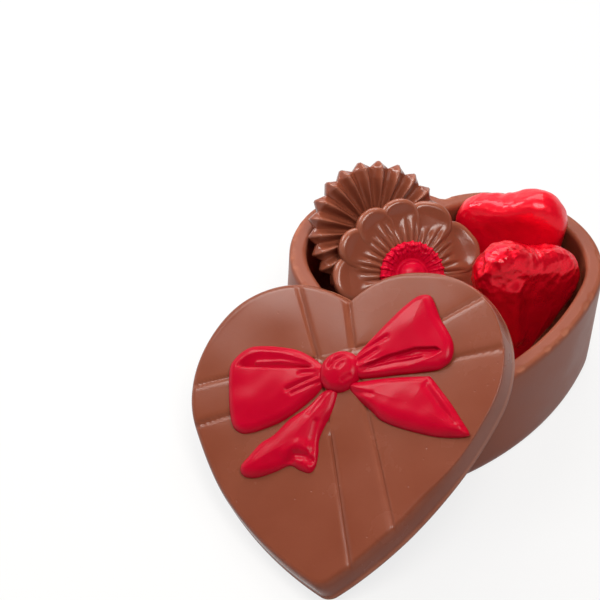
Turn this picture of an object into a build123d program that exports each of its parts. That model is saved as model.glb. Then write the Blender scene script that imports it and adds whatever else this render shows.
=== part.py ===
from build123d import *
from dataclasses import dataclass
from math import acos, asin, atan2, cos, degrees, hypot, pi, radians, sin, sqrt, tan
import os

os.makedirs("parts", exist_ok=True)

# Base: a cast heart-shaped tray, origin level with its lobe centres, tip towards -Y
base_width = 110.0
base_lobe_share = 0.17
base_flank_share = 1.0727
base_flank_angle = 23.5
base_tip_share = 0.0691
base_cleft_share = 0.0227
base_height = 40.5
wall = 6.0
floor_thick = 6.0
cavity_tip_round = 4.5
cavity_cleft_round = 4.0
rim_round = 2.1
rim_inner_round = 1.0
foot_round = 1.2
floor_round = 2.5

# Lid: a heart plate with a lip, a sloped side and two crossing raised bands
lid_overhang = 3.5
lid_lobe_share = 0.1897
lid_flank_share = 1.1496
lid_flank_angle = 25.6
lid_tip_share = 0.0487
lid_cleft_share = 0.0137
lip_thick = 1.8
lip_ledge = 1.0
lid_thick = 9.0
lid_inset = 5.6
side_height_shares = (0.0, 0.45, 0.8, 1.0)
side_inset_shares = (0.0, 0.3, 0.62, 1.0)
band_rise = 0.8
long_band_width = 17.2
long_band_turn = 15.7
cross_band_width = 15.0
cross_band_turn = 10.9
cross_band_up = 3.0

# Lid set aside: its edge on the table, its underside on the left rim of the base
lid_lean = 35.5
lid_lean_azimuth = 36.06
lid_turn = 46.55
lid_side_share = -0.218
seat_gap = 0.3

# Bow on the lid, its outlines as shares of the reach of a loop
bow_reach_share = 0.3504
bow_across_share = 0.0111
bow_thick = 3.4
knot_width = 13.0
knot_length = 14.6
knot_turn = 11.5
knot_thick = 4.8
bow_gap = 0.7
fold_depth = 1.5
pillow_height_shares = (0.0, 0.5, 0.82, 1.0)
pillow_spread_shares = (1.0, 0.97, 0.9, 0.76)
left_loop_shares = (
    (-0.13, 0.07), (-0.34, 0.21), (-0.53, 0.265), (-0.7, 0.288), (-0.81, 0.285),
    (-0.9, 0.239), (-0.978, 0.166), (-0.998, 0.088), (-0.978, -0.115), (-0.944, -0.29),
    (-0.893, -0.405), (-0.815, -0.461), (-0.722, -0.463), (-0.617, -0.439), (-0.46, -0.385),
    (-0.293, -0.283), (-0.16, -0.17), (-0.09, -0.04),
)
left_fold_shares = (
    (-0.86, 0.15), (-0.76, 0.212), (-0.5, 0.19), (-0.25, 0.09), (-0.36, 0.045), (-0.65, 0.05),
)
right_loop_shares = (
    (0.13, 0.1), (0.27, 0.259), (0.432, 0.424), (0.554, 0.534), (0.661, 0.602), (0.746, 0.602),
    (0.793, 0.546), (0.863, 0.388), (0.932, 0.278), (0.978, 0.19), (0.993, 0.105), (0.973, 0.024),
    (0.92, -0.022), (0.837, -0.05), (0.559, -0.06), (0.2, -0.07), (0.09, -0.02),
)
right_fold_shares = (
    (0.26, 0.02), (0.466, 0.139), (0.72, 0.168), (0.893, 0.139), (0.9, 0.09), (0.73, 0.01), (0.5, -0.015),
)
left_tail_shares = (
    (-0.1, -0.15), (-0.23, -0.27), (-0.38, -0.37), (-0.5, -0.49), (-0.605, -0.551), (-0.7, -0.656),
    (-0.756, -0.72), (-0.768, -0.778), (-0.727, -0.829), (-0.661, -0.846), (-0.573, -0.834),
    (-0.461, -0.802), (-0.332, -0.763), (-0.241, -0.805), (-0.149, -0.834), (-0.102, -0.788),
    (-0.085, -0.68), (-0.09, -0.556), (-0.059, -0.432), (0.0, -0.31), (0.02, -0.15),
)
right_tail_shares = (
    (0.15, -0.158), (0.25, -0.13), (0.4, -0.112), (0.559, -0.108), (0.771, -0.1), (0.815, -0.107),
    (0.907, -0.212), (0.998, -0.327), (1.09, -0.463), (1.163, -0.573), (1.149, -0.61),
    (1.017, -0.612), (0.851, -0.588), (0.593, -0.51), (0.417, -0.432), (0.324, -0.349), (0.2, -0.24),
)

# Wrapped hearts: a chocolate core in a foil cover, all from one mould that suits the hollow's width
heart_width_share = 0.403
heart_lobe_share = 0.2354
heart_flank_share = 3.0
heart_flank_angle = 20.0
heart_tip_share = 0.0924
heart_cleft_share = 0.0405
heart_thick_share = 0.3545
foil_thick = 0.3
foil_gap = 0.1
puff_height_shares = (-1.0, -0.72, 0.0, 0.72, 1.0)
puff_spread_shares = (0.55, 0.86, 1.0, 0.86, 0.55)
front_heart_shares = (0.2286, -0.1857)
front_heart_yaw = 22.5
front_heart_lean = 12.6
front_heart_roll = -15.6
back_heart_shares = (0.3168, 0.1178)
back_heart_yaw = -16.9
back_heart_lean = 8.7
back_heart_roll = 16.0
lower_heart_side_share = -0.1633

# Flower chocolates: both lean back together, the daisy behind, sized by the hollow's width
flower_yaw = 22.4
daisy_radius_share = 0.2592
daisy_thick_share = 0.2953
daisy_foot_share = 0.0334
daisy_wall_gap = 0.8
daisy_petals = 24
daisy_hub_share = 0.34
daisy_station_shares = (0.24, 0.5, 0.72, 0.86, 0.95, 1.0)
daisy_width_shares = (1.06, 1.06, 1.06, 1.02, 0.66, 0.1)
daisy_edge_shares = (0.3, 0.38, 0.5, 0.52, 0.46, 0.38)
daisy_ridge_shares = (0.5, 0.72, 1.0, 0.98, 0.78, 0.46)
flower_radius_share = 0.2745
flower_thick_share = 0.2379
flower_shift_share = 0.0515
flower_drop_share = 0.1786
flower_pairs = 4
flower_station_shares = (0.26, 0.46, 0.64, 0.8, 0.9, 0.96, 1.0)
flower_width_shares = (1.1, 1.2, 1.25, 1.18, 0.96, 0.68, 0.3)
flower_rise_shares = (0.6, 0.68, 0.74, 0.74, 0.68, 0.6, 0.52)
flower_under_shares = (0.0, 0.0, 0.0, 0.04, 0.1, 0.14, 0.16)
flower_ridge_shares = (0.5, 1.0, 0.8, 0.4, 0.2, 0.1, 0.0)
ruffle_shares = (-0.05, 0.06, -0.06, 0.09, -0.06, 0.06, -0.05)
shingle_share = 0.16
overlap_share = 0.1

# Red centre of the flower: a fringed disc with a button, sized by the flower
disc_radius_share = 0.4535
disc_seat_share = 0.5
disc_thick_share = 0.1148
fringe_count = 28
fringe_width_share = 0.1803
fringe_rise_share = 0.2459
fringe_station_shares = (0.5, 0.7, 0.9, 1.0)
fringe_rise_shares = (0.05, 0.7, 1.0, 0.6)
button_radius_share = 0.3852
button_rise_share = 0.3607
button_height_shares = (-0.1, 0.55, 0.85, 1.0)
button_spread_shares = (1.0, 0.94, 0.7, 0.3)
cut_over = 30.0


@dataclass(frozen=True)
class HeartForm:
    """Heart outline of tangent arcs: rounded cleft, lobes, flanks and tip."""

    width: float
    lobe_offset: float
    flank_radius: float
    flank_angle: float
    tip_round: float
    cleft_round: float

    def lobe_radius(self):
        """Radius of one lobe."""
        return self.width / 2 - self.lobe_offset

    def flank_centre(self):
        """Centre of the right flank arc."""
        reach = self.flank_radius - self.lobe_radius()
        turn = radians(self.flank_angle)
        return self.lobe_offset - reach * cos(turn), reach * sin(turn)

    def tip_height(self):
        """Height of the centre of the tip arc."""
        across, up = self.flank_centre()
        return up - sqrt((self.flank_radius - self.tip_round) ** 2 - across ** 2)

    def middle(self):
        """Height halfway between the lobe tops and the tip."""
        return (self.lobe_radius() + self.tip_height() - self.tip_round) / 2

    def inset(self, depth):
        """The outline moved inwards by one depth."""
        return HeartForm(
            self.width - 2 * depth,
            self.lobe_offset,
            self.flank_radius - depth,
            self.flank_angle,
            max(self.tip_round - depth, self.tip_round / 4),
            self.cleft_round + depth,
        )

    def spread(self, share):
        """The outline scaled about the level of its lobe centres."""
        return HeartForm(
            self.width * share,
            self.lobe_offset * share,
            self.flank_radius * share,
            self.flank_angle,
            self.tip_round * share,
            self.cleft_round * share,
        )

    def arcs(self):
        """Centre, radius and both end angles of each arc of the right half."""
        lobe = self.lobe_radius()
        meet = acos(self.lobe_offset / (lobe + self.cleft_round))
        cleft_up = sqrt((lobe + self.cleft_round) ** 2 - self.lobe_offset ** 2)
        across, up = self.flank_centre()
        tip_up = self.tip_height()
        turn = -radians(self.flank_angle)
        low = atan2(tip_up - up, -across)
        return (
            ((0, cleft_up), self.cleft_round, -pi / 2, -meet),
            ((self.lobe_offset, 0), lobe, pi - meet, turn),
            ((across, up), self.flank_radius, turn, low),
            ((0, tip_up), self.tip_round, low, -pi / 2),
        )

    def support(self, angle):
        """Distance from the origin to the left flank's tangent line facing one direction."""
        across, up = self.flank_centre()
        return -across * cos(angle) + up * sin(angle) + self.flank_radius


def on_arc(centre, radius, angle):
    """Point of a circle at an angle."""
    return centre[0] + radius * cos(angle), centre[1] + radius * sin(angle)


def heart_face(form, plane):
    """Heart-shaped face on a plane, tip towards the plane's -Y."""
    with BuildSketch(plane) as face:
        with BuildLine():
            for centre, radius, first, last in form.arcs():
                ThreePointArc(
                    on_arc(centre, radius, first),
                    on_arc(centre, radius, (first + last) / 2),
                    on_arc(centre, radius, last),
                )
            mirror(about=Plane.YZ)
        make_face()
    return face.sketch


def heart_slice(form, plane, height, share):
    """Heart face at a height above a plane, scaled about the middle of the outline."""
    level = plane.offset(height)
    level = Plane(level.origin + level.y_dir * form.middle() * (1 - share), level.x_dir, level.z_dir)
    return heart_face(form.spread(share), level)


def puffed_heart(form, plane, thick):
    """Slices of a cushion-shaped heart, half of it on each side of a plane."""
    return [
        heart_slice(form, plane, height * thick / 2, share)
        for height, share in zip(puff_height_shares, puff_spread_shares)
    ]


def outline_face(plane, shares, spread):
    """Smooth closed face through points given as shares of the bow's reach."""
    mid_x = sum(x for x, y in shares) / len(shares)
    mid_y = sum(y for x, y in shares) / len(shares)
    points = [
        (bow_reach * (mid_x + spread * (x - mid_x)), bow_reach * (mid_y + spread * (y - mid_y)))
        for x, y in shares
    ]
    with BuildSketch(plane) as face:
        with BuildLine():
            Spline(*points, periodic=True)
        make_face()
    return face.sketch


def pillow(shares, thick):
    """Slices of a cushioned piece of the bow standing on the lid."""
    return [
        outline_face(bow_plane.offset(height * thick), shares, spread)
        for height, spread in zip(pillow_height_shares, pillow_spread_shares)
    ]


def leaning_axes(yaw, tilt):
    """Sideways, up-slope and facing directions of a piece that leans back."""
    turn = radians(yaw)
    lift = radians(tilt)
    side = Vector(cos(turn), sin(turn), 0)
    slope = Vector(-sin(turn) * sin(lift), cos(turn) * sin(lift), cos(lift))
    facing = Vector(sin(turn) * cos(lift), -cos(turn) * cos(lift), sin(lift))
    return side, slope, facing


def standing_heart(place_shares, yaw, lean, roll):
    """Plane of a heart that stands on its tip on the floor of the base."""
    x, y = (share * hollow_width for share in place_shares)
    side, slope, facing = leaning_axes(yaw, lean)
    turn = radians(roll)
    across = side * cos(turn) + slope * sin(turn)
    along = slope * cos(turn) - side * sin(turn)
    foot = Vector(x, y, floor_thick + 2 * seat_gap)
    origin = foot + slope * heart_form.tip_round - along * heart_form.tip_height()
    return Plane(origin, across, facing)


def petal_face(station, points):
    """Cross-section of a petal at a distance from the flower's axis."""
    with BuildSketch(Plane.YZ.offset(station)) as face:
        with BuildLine():
            Polyline(*points, close=True)
        make_face()
    return face.sketch


def disc_face(plane, radius):
    """Round face on a plane."""
    with BuildSketch(plane) as face:
        Circle(radius)
    return face.sketch


def oval_face(plane, width, length):
    """Oval face on a plane of the lid, turned with the bow."""
    with BuildSketch(plane) as face:
        Ellipse(width / 2, length / 2, rotation=knot_turn)
    return face.sketch


def knot_face(height, spread):
    """Oval slice of the knot at a height above the lid's top."""
    return oval_face(bow_plane.offset(height), knot_width * spread, knot_length * spread)


def gabled_slice(station, width, edge, ridge):
    """Five-cornered slice of a daisy petal with a ridge along its middle."""
    half = width * station * daisy_spacing / 2
    low = edge * daisy_thick
    points = [(-half, 0), (half, 0), (half, low), (0, ridge * daisy_thick), (-half, low)]
    return petal_face(station * daisy_radius, points)


def ruffled_slice(station, width, rise, under, ridge, tilt):
    """Slice of a broad petal: ridged top, tilted towards the edge that lies over its neighbour."""
    half = width * station * flower_spacing / 2
    last = len(ruffle_shares) - 1
    acrosses = [half * (1 - 2 * place / last) for place in range(len(ruffle_shares))]
    tops = [
        flower_thick * (rise + ridge * ruffle - tilt * station * (1 - 2 * place / last))
        for place, ruffle in enumerate(ruffle_shares)
    ]
    low = flower_thick * under
    return petal_face(station * flower_radius, [(-half, low), (half, low), *zip(acrosses, tops)])


def petal_slices(raised, tilt):
    """Slices of one broad petal from the middle of the flower to its end."""
    return [
        ruffled_slice(station, width, rise + raised * station, under, ridge, tilt)
        for station, width, rise, under, ridge in zip(
            flower_station_shares,
            flower_width_shares,
            flower_rise_shares,
            flower_under_shares,
            flower_ridge_shares,
        )
    ]


def fringe_slice(station, height):
    """Slice of one upright rib of the fringe."""
    half = fringe_width / 2 * station / disc_radius
    return petal_face(station, [(-half, 0), (half, 0), (half, height), (-half, height)])


# Sizes that follow the base
lid_width = base_width + 2 * lid_overhang
bow_reach = bow_reach_share * lid_width
hollow_width = base_width - 2 * wall
heart_width = heart_width_share * hollow_width
heart_thick = heart_thick_share * heart_width
daisy_radius = daisy_radius_share * hollow_width
daisy_thick = daisy_thick_share * daisy_radius
flower_radius = flower_radius_share * hollow_width
flower_thick = flower_thick_share * flower_radius
disc_radius = disc_radius_share * flower_radius
disc_thick = disc_thick_share * disc_radius
fringe_width = fringe_width_share * disc_radius
fringe_rise = fringe_rise_share * disc_radius
button_radius = button_radius_share * disc_radius
button_rise = button_rise_share * disc_radius

# Outlines
base_form = HeartForm(
    base_width,
    base_lobe_share * base_width,
    base_flank_share * base_width,
    base_flank_angle,
    base_tip_share * base_width,
    base_cleft_share * base_width,
)
cavity_form = HeartForm(
    hollow_width,
    base_form.lobe_offset,
    base_form.flank_radius - wall,
    base_flank_angle,
    cavity_tip_round,
    cavity_cleft_round,
)
lid_form = HeartForm(
    lid_width,
    lid_lobe_share * lid_width,
    lid_flank_share * lid_width,
    lid_flank_angle,
    lid_tip_share * lid_width,
    lid_cleft_share * lid_width,
)
heart_form = HeartForm(
    heart_width,
    heart_lobe_share * heart_width,
    heart_flank_share * heart_width,
    heart_flank_angle,
    heart_tip_share * heart_width,
    heart_cleft_share * heart_width,
)

# Plane of the lid's underside: foot on the table, resting on the rounded rim
lean = radians(lid_lean)
bearing = radians(lid_lean_azimuth)
turn_in_lid = radians(lid_turn)
ascent = Vector(cos(bearing), sin(bearing), 0)
lid_normal = Vector(-sin(lean) * cos(bearing), -sin(lean) * sin(bearing), cos(lean))
lid_slope = Vector(cos(lean) * cos(bearing), cos(lean) * sin(bearing), sin(lean))
lid_across = lid_normal.cross(lid_slope)
rim_reach = rim_round - base_form.support(bearing + pi)
drop = (rim_round + seat_gap + (base_height - rim_round) * cos(lean)) / sin(lean)
foot_reach = lid_form.support(turn_in_lid + pi)
lid_origin = (
    ascent * (rim_reach - drop) + lid_slope * foot_reach + lid_across * lid_side_share * lid_width
)
lid_plane = Plane(
    lid_origin, lid_slope * cos(turn_in_lid) - lid_across * sin(turn_in_lid), lid_normal
)
lid_top = lid_plane.offset(lid_thick)
bow_origin = lid_top.origin + lid_top.x_dir * bow_across_share * lid_width
bow_plane = Plane(bow_origin, lid_top.x_dir, lid_top.z_dir)

# Planes of the flowers: the daisy's foot on the lower heart, its back on the cleft corner of the rim
level_back = Vector(-sin(radians(flower_yaw)), cos(radians(flower_yaw)), 0)
cavity_lobe = cavity_form.lobe_radius() + cavity_form.cleft_round
cleft_corner = sqrt(cavity_lobe ** 2 - cavity_form.lobe_offset ** 2) - cavity_form.cleft_round
foot_back = daisy_foot_share * hollow_width
foot_height = floor_thick + heart_thick + 3 * seat_gap
corner_back = cleft_corner * level_back.Y - foot_back
corner_rise = base_height - foot_height
lift = atan2(corner_back, corner_rise) - asin(seat_gap / hypot(corner_back, corner_rise))
side_way, up_slope, face_way = leaning_axes(flower_yaw, degrees(lift))
left_lobe = Vector(-cavity_form.lobe_offset, 0, 0)
past_lobe = foot_back + daisy_radius * sin(lift) - left_lobe.dot(level_back)
wall_side = left_lobe.dot(side_way) - sqrt(cavity_form.lobe_radius() ** 2 - past_lobe ** 2)
daisy_origin = (
    side_way * (wall_side + daisy_wall_gap + daisy_radius)
    + level_back * foot_back
    + Vector(0, 0, foot_height)
    + up_slope * daisy_radius
)
daisy_plane = Plane(daisy_origin, side_way, face_way)
flower_origin = (
    daisy_origin
    + face_way * (daisy_thick + seat_gap)
    + side_way * flower_shift_share * hollow_width
    - up_slope * flower_drop_share * hollow_width
)
flower_plane = Plane(flower_origin, side_way, face_way)

# Planes of the hearts
front_heart = standing_heart(front_heart_shares, front_heart_yaw, front_heart_lean, front_heart_roll)
back_heart = standing_heart(back_heart_shares, back_heart_yaw, back_heart_lean, back_heart_roll)
lower_level = floor_thick + 2 * seat_gap + heart_thick / 2
lower_backs = [
    flower_origin.dot(level_back)
    - (flower_origin.Z - lower_level - height * heart_thick / 2) * tan(lift)
    + heart_form.middle() * (1 - share)
    + heart_form.lobe_radius() * share
    for height, share in zip(puff_height_shares, puff_spread_shares)
]
lower_origin = (
    side_way * lower_heart_side_share * hollow_width
    + level_back * (max(lower_backs) + 2 * seat_gap / cos(lift))
    + Vector(0, 0, lower_level)
)
lower_heart = Plane(lower_origin, side_way * -1, (0, 0, 1))

# Levels and slices of the lid's small pieces, the petals and the foil
lid_top_share = 1 - 2 * lid_inset / lid_width
cross_plane = Plane(bow_origin + lid_top.y_dir * cross_band_up, lid_top.x_dir, lid_top.z_dir)
knot_levels = [
    (height * knot_thick, spread) for height, spread in zip(pillow_height_shares, pillow_spread_shares)
]
knot_room = oval_face(bow_plane, knot_width + 2 * bow_gap, knot_length + 2 * bow_gap)
daisy_spacing = 2 * pi * daisy_radius / daisy_petals
daisy_hub_thick = daisy_thick * daisy_ridge_shares[1]
daisy_slices = [
    gabled_slice(station, width, edge, ridge)
    for station, width, edge, ridge in zip(
        daisy_station_shares, daisy_width_shares, daisy_edge_shares, daisy_ridge_shares
    )
]
flower_turn = 360 / (2 * flower_pairs + 2)
flower_spacing = 2 * pi * flower_radius * flower_turn / 360
half_turn = flower_turn * flower_pairs
disc_seat = flower_thick * disc_seat_share
centre_plane = flower_plane.offset(disc_seat)
fringe_slices = [
    fringe_slice(disc_radius * station, disc_thick + fringe_rise * rise)
    for station, rise in zip(fringe_station_shares, fringe_rise_shares)
]
button_levels = [
    (disc_thick + button_rise * height, button_radius * spread)
    for height, spread in zip(button_height_shares, button_spread_shares)
]
lining_form = heart_form.inset(foil_thick)
lining_thick = heart_thick - 2 * foil_thick
core_form = heart_form.inset(foil_thick + foil_gap)
core_thick = lining_thick - 2 * foil_gap

# Base: heart tray with a rounded rim
with BuildPart() as base_shell:
    extrude(heart_face(base_form, Plane.XY), amount=base_height)
    fillet(base_shell.faces().sort_by(Axis.Z)[0].outer_wire().edges(), foot_round)
    extrude(
        heart_face(cavity_form, Plane.XY.offset(floor_thick)), amount=base_height, mode=Mode.SUBTRACT
    )
    rim = base_shell.faces().filter_by(Axis.Z).sort_by(Axis.Z)[-1]
    fillet(rim.outer_wire().edges(), rim_round)
    rim = base_shell.faces().filter_by(Axis.Z).sort_by(Axis.Z)[-1]
    fillet(rim.inner_wires()[0].edges(), rim_inner_round)
    well = base_shell.faces().filter_by(Axis.Z).sort_by(Axis.Z)[-2]
    fillet(well.outer_wire().edges(), floor_round)
base_shell.part.label = "base_shell"
export_step(base_shell.part, "parts/base_shell.step")

# Bands on the lid's top, trimmed by its outline
with BuildPart() as lid_bands:
    with BuildSketch(bow_plane):
        Rectangle(long_band_width, 2 * lid_width, rotation=long_band_turn)
    extrude(amount=band_rise)
    with BuildSketch(cross_plane):
        Rectangle(2 * lid_width, cross_band_width, rotation=cross_band_turn)
    extrude(amount=band_rise)
    extrude(
        heart_slice(lid_form, lid_plane, lid_thick, lid_top_share),
        amount=band_rise,
        mode=Mode.INTERSECT,
    )

# Lid: lip, sloped side and raised bands
with BuildPart() as lid_plate:
    extrude(heart_face(lid_form, lid_plane), amount=lip_thick)
    loft(
        sections=[
            heart_slice(
                lid_form,
                lid_plane,
                lip_thick + height * (lid_thick - lip_thick),
                1 - 2 * (lip_ledge + inset * (lid_inset - lip_ledge)) / lid_width,
            )
            for height, inset in zip(side_height_shares, side_inset_shares)
        ]
    )
    add(lid_bands.part)
lid_plate.part.label = "lid_plate"
export_step(lid_plate.part, "parts/lid_plate.step")

# Bow: cushioned knot, two loops with a fold and two tails
with BuildPart() as bow_knot:
    loft(sections=[knot_face(height, spread) for height, spread in knot_levels])
    add(lid_bands.part, mode=Mode.SUBTRACT)
bow_knot.part.label = "bow_knot"
export_step(bow_knot.part, "parts/bow_knot.step")

with BuildPart() as bow_left_loop:
    loft(sections=pillow(left_loop_shares, bow_thick))
    extrude(
        outline_face(bow_plane.offset(bow_thick - fold_depth), left_fold_shares, 1),
        amount=cut_over,
        mode=Mode.SUBTRACT,
    )
    extrude(knot_room, amount=cut_over, mode=Mode.SUBTRACT)
    add(lid_bands.part, mode=Mode.SUBTRACT)
bow_left_loop.part.label = "bow_left_loop"
export_step(bow_left_loop.part, "parts/bow_left_loop.step")

with BuildPart() as bow_right_loop:
    loft(sections=pillow(right_loop_shares, bow_thick))
    extrude(
        outline_face(bow_plane.offset(bow_thick - fold_depth), right_fold_shares, 1),
        amount=cut_over,
        mode=Mode.SUBTRACT,
    )
    extrude(knot_room, amount=cut_over, mode=Mode.SUBTRACT)
    add(lid_bands.part, mode=Mode.SUBTRACT)
bow_right_loop.part.label = "bow_right_loop"
export_step(bow_right_loop.part, "parts/bow_right_loop.step")

with BuildPart() as bow_left_tail:
    loft(sections=pillow(left_tail_shares, bow_thick))
    extrude(knot_room, amount=cut_over, mode=Mode.SUBTRACT)
    add(lid_bands.part, mode=Mode.SUBTRACT)
bow_left_tail.part.label = "bow_left_tail"
export_step(bow_left_tail.part, "parts/bow_left_tail.step")

with BuildPart() as bow_right_tail:
    loft(sections=pillow(right_tail_shares, bow_thick))
    extrude(knot_room, amount=cut_over, mode=Mode.SUBTRACT)
    add(lid_bands.part, mode=Mode.SUBTRACT)
bow_right_tail.part.label = "bow_right_tail"
export_step(bow_right_tail.part, "parts/bow_right_tail.step")

# Daisy: gabled petals round a low hub
with BuildPart() as daisy_petal:
    loft(sections=daisy_slices, ruled=True)

with BuildPart(daisy_plane) as daisy:
    extrude(disc_face(daisy_plane, daisy_radius * daisy_hub_share), amount=daisy_hub_thick)
    with PolarLocations(0, daisy_petals):
        add(daisy_petal.part)
daisy.part.label = "daisy_chocolate"
export_step(daisy.part, "parts/daisy_chocolate.step")

# Flower: broad petals, lying over one another from the top one down both sides
with BuildPart() as right_petal:
    loft(sections=petal_slices(0, shingle_share), ruled=True)

with BuildPart() as left_petal:
    mirror(right_petal.part, about=Plane.XZ)

with BuildPart() as top_petal:
    loft(sections=petal_slices(overlap_share, 0), ruled=True)

with BuildPart() as bottom_petal:
    loft(sections=petal_slices(-overlap_share, 0), ruled=True)

with BuildPart(flower_plane) as flower_petals:
    extrude(disc_face(flower_plane, disc_radius), amount=disc_seat)
    with PolarLocations(0, flower_pairs, start_angle=90 - half_turn, angular_range=half_turn):
        add(right_petal.part)
    with PolarLocations(0, flower_pairs, start_angle=90 + flower_turn, angular_range=half_turn):
        add(left_petal.part)
    with PolarLocations(0, 1, start_angle=90):
        add(top_petal.part)
    with PolarLocations(0, 1, start_angle=-90):
        add(bottom_petal.part)
    extrude(
        disc_face(flower_plane.offset(disc_seat), disc_radius + seat_gap),
        amount=cut_over,
        mode=Mode.SUBTRACT,
    )
flower_petals.part.label = "flower_petals"
export_step(flower_petals.part, "parts/flower_petals.step")

# Centre of the flower: a disc, a ring of fringe and a domed button
with BuildPart() as fringe_piece:
    loft(sections=fringe_slices, ruled=True)

with BuildPart(centre_plane) as flower_centre:
    extrude(disc_face(centre_plane, disc_radius), amount=disc_thick)
    with PolarLocations(0, fringe_count):
        add(fringe_piece.part)
    loft(sections=[disc_face(centre_plane.offset(height), radius) for height, radius in button_levels])
flower_centre.part.label = "flower_centre"
export_step(flower_centre.part, "parts/flower_centre.step")

# Wrapped hearts: foil cover and chocolate core
with BuildPart() as front_heart_foil:
    loft(sections=puffed_heart(heart_form, front_heart, heart_thick))
    loft(sections=puffed_heart(lining_form, front_heart, lining_thick), mode=Mode.SUBTRACT)
front_heart_foil.part.label = "front_heart_foil"
export_step(front_heart_foil.part, "parts/front_heart_foil.step")

with BuildPart() as front_heart_core:
    loft(sections=puffed_heart(core_form, front_heart, core_thick))
front_heart_core.part.label = "front_heart_core"
export_step(front_heart_core.part, "parts/front_heart_core.step")

with BuildPart() as back_heart_foil:
    loft(sections=puffed_heart(heart_form, back_heart, heart_thick))
    loft(sections=puffed_heart(lining_form, back_heart, lining_thick), mode=Mode.SUBTRACT)
back_heart_foil.part.label = "back_heart_foil"
export_step(back_heart_foil.part, "parts/back_heart_foil.step")

with BuildPart() as back_heart_core:
    loft(sections=puffed_heart(core_form, back_heart, core_thick))
back_heart_core.part.label = "back_heart_core"
export_step(back_heart_core.part, "parts/back_heart_core.step")

with BuildPart() as lower_heart_foil:
    loft(sections=puffed_heart(heart_form, lower_heart, heart_thick))
    loft(sections=puffed_heart(lining_form, lower_heart, lining_thick), mode=Mode.SUBTRACT)
lower_heart_foil.part.label = "lower_heart_foil"
export_step(lower_heart_foil.part, "parts/lower_heart_foil.step")

with BuildPart() as lower_heart_core:
    loft(sections=puffed_heart(core_form, lower_heart, core_thick))
lower_heart_core.part.label = "lower_heart_core"
export_step(lower_heart_core.part, "parts/lower_heart_core.step")
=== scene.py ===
"""Looks of a moulded milk chocolate heart box with its lid set aside and its fill of sweets.

Sizes are millimetres, turned to metres when a mesh is made. Every piece is a skin of closed rings.
"""
import logging
import math
from dataclasses import dataclass, field
from enum import Enum

import bpy
import numpy as np
from mathutils import Matrix, Vector


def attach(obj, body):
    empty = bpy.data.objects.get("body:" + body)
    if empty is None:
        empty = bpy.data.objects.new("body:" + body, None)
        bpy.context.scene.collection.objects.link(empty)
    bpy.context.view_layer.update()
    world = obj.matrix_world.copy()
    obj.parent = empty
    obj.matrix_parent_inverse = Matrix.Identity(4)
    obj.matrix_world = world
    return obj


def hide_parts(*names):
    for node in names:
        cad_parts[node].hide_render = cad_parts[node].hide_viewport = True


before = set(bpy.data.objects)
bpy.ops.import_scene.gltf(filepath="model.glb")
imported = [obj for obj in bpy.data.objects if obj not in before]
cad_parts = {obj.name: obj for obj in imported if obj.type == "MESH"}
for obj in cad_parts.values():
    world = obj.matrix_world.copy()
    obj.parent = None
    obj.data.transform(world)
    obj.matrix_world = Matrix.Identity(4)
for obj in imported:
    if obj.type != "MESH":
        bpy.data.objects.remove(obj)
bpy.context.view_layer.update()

Array = np.ndarray
Pair = tuple[float, float]
Triple = tuple[float, float, float]
Colour = tuple[float, float, float, float]
Counts = tuple[int, int, int, int]
Path = tuple[Pair, ...]
Profile = tuple[tuple[float, ...], tuple[float, ...]]
Material = bpy.types.Material
Socket = bpy.types.NodeSocket

MM = 0.001
WAVE_SPREAD = (0.7, 1.5)
CRUMPLE_RATE = 6.0
CURVE_STEPS = 24
HUB_POINTS = 96
log = logging.getLogger("heart_box")


class Slot(Enum):
    """The record's material slots."""

    CHOCOLATE = "milk_chocolate"
    COATING = "red_candy_coating"
    FOIL = "red_foil"


class Mark(Enum):
    """Point attributes that the finishes read."""

    # On chocolate: paler edges, ridges and groove lines, partly real wear and partly painted highlight. On
    # foil: how crisp the crinkles are.
    WEAR = "wear_highlight_crisp"
    BARE = "bare_foot"
    RAW = "raw_back"


def smooth(low: float, high: float, value: Array) -> Array:
    """Smoothstep: 0 at low, 1 at high, 3 t squared less 2 t cubed between.

    Args:
        low: value where the step starts.
        high: value where the step ends, below low for a falling step.
        value: numbers to step.

    Returns:
        Array of shares from 0 to 1.
    """
    share = np.clip((value - low) / (high - low), 0.0, 1.0)
    return share * share * (3.0 - 2.0 * share)


def bell(value: Array, half: float) -> Array:
    """Bell curve: e to the power of minus the square of value over half."""
    return np.exp(-((value / half) ** 2))


def ripple(points: Array, wave: float, seed: int, count: int = 14) -> Array:
    """Soft noise: the mean of cosine waves that run in random directions.

    Args:
        points: array (..., 3) in mm.
        wave: mean wavelength in mm.
        seed: random seed.
        count: number of waves.

    Returns:
        Array of about -1 to 1.
    """
    draw = np.random.default_rng(seed)
    ways = draw.normal(size=(count, points.shape[-1]))
    ways /= np.linalg.norm(ways, axis=1, keepdims=True)
    pace = 2.0 * np.pi / (wave * draw.uniform(*WAVE_SPREAD, count))
    phase = draw.uniform(0.0, 2.0 * np.pi, count)
    return np.cos(points @ (ways * pace[:, None]).T + phase).sum(-1) / math.sqrt(count / 2.0) / 2.0


def crumple(points: Array, spacing: float, seed: int) -> Array:
    """Creased facets: each point's distance to the nearest of random seeds, as a share of the spacing.

    Args:
        points: array (..., 3) in mm.
        spacing: mean distance between seeds in mm.
        seed: random seed.

    Returns:
        Array of 0 at a seed to about 1 on the creases between seeds.
    """
    flat = points.reshape(-1, 3)
    draw = np.random.default_rng(seed)
    count = max(8, round(len(flat) ** 0.5 * CRUMPLE_RATE / spacing))
    seeds = flat[draw.integers(0, len(flat), count)] + draw.normal(size=(count, 3)) * spacing / 4.0
    square = (flat**2).sum(1)[:, None] + (seeds**2).sum(1)[None] - 2.0 * flat @ seeds.T
    near = np.sqrt(np.maximum(square.min(1), 0.0))
    return np.clip(near / spacing, 0.0, 1.5).reshape(points.shape[:-1])


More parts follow.
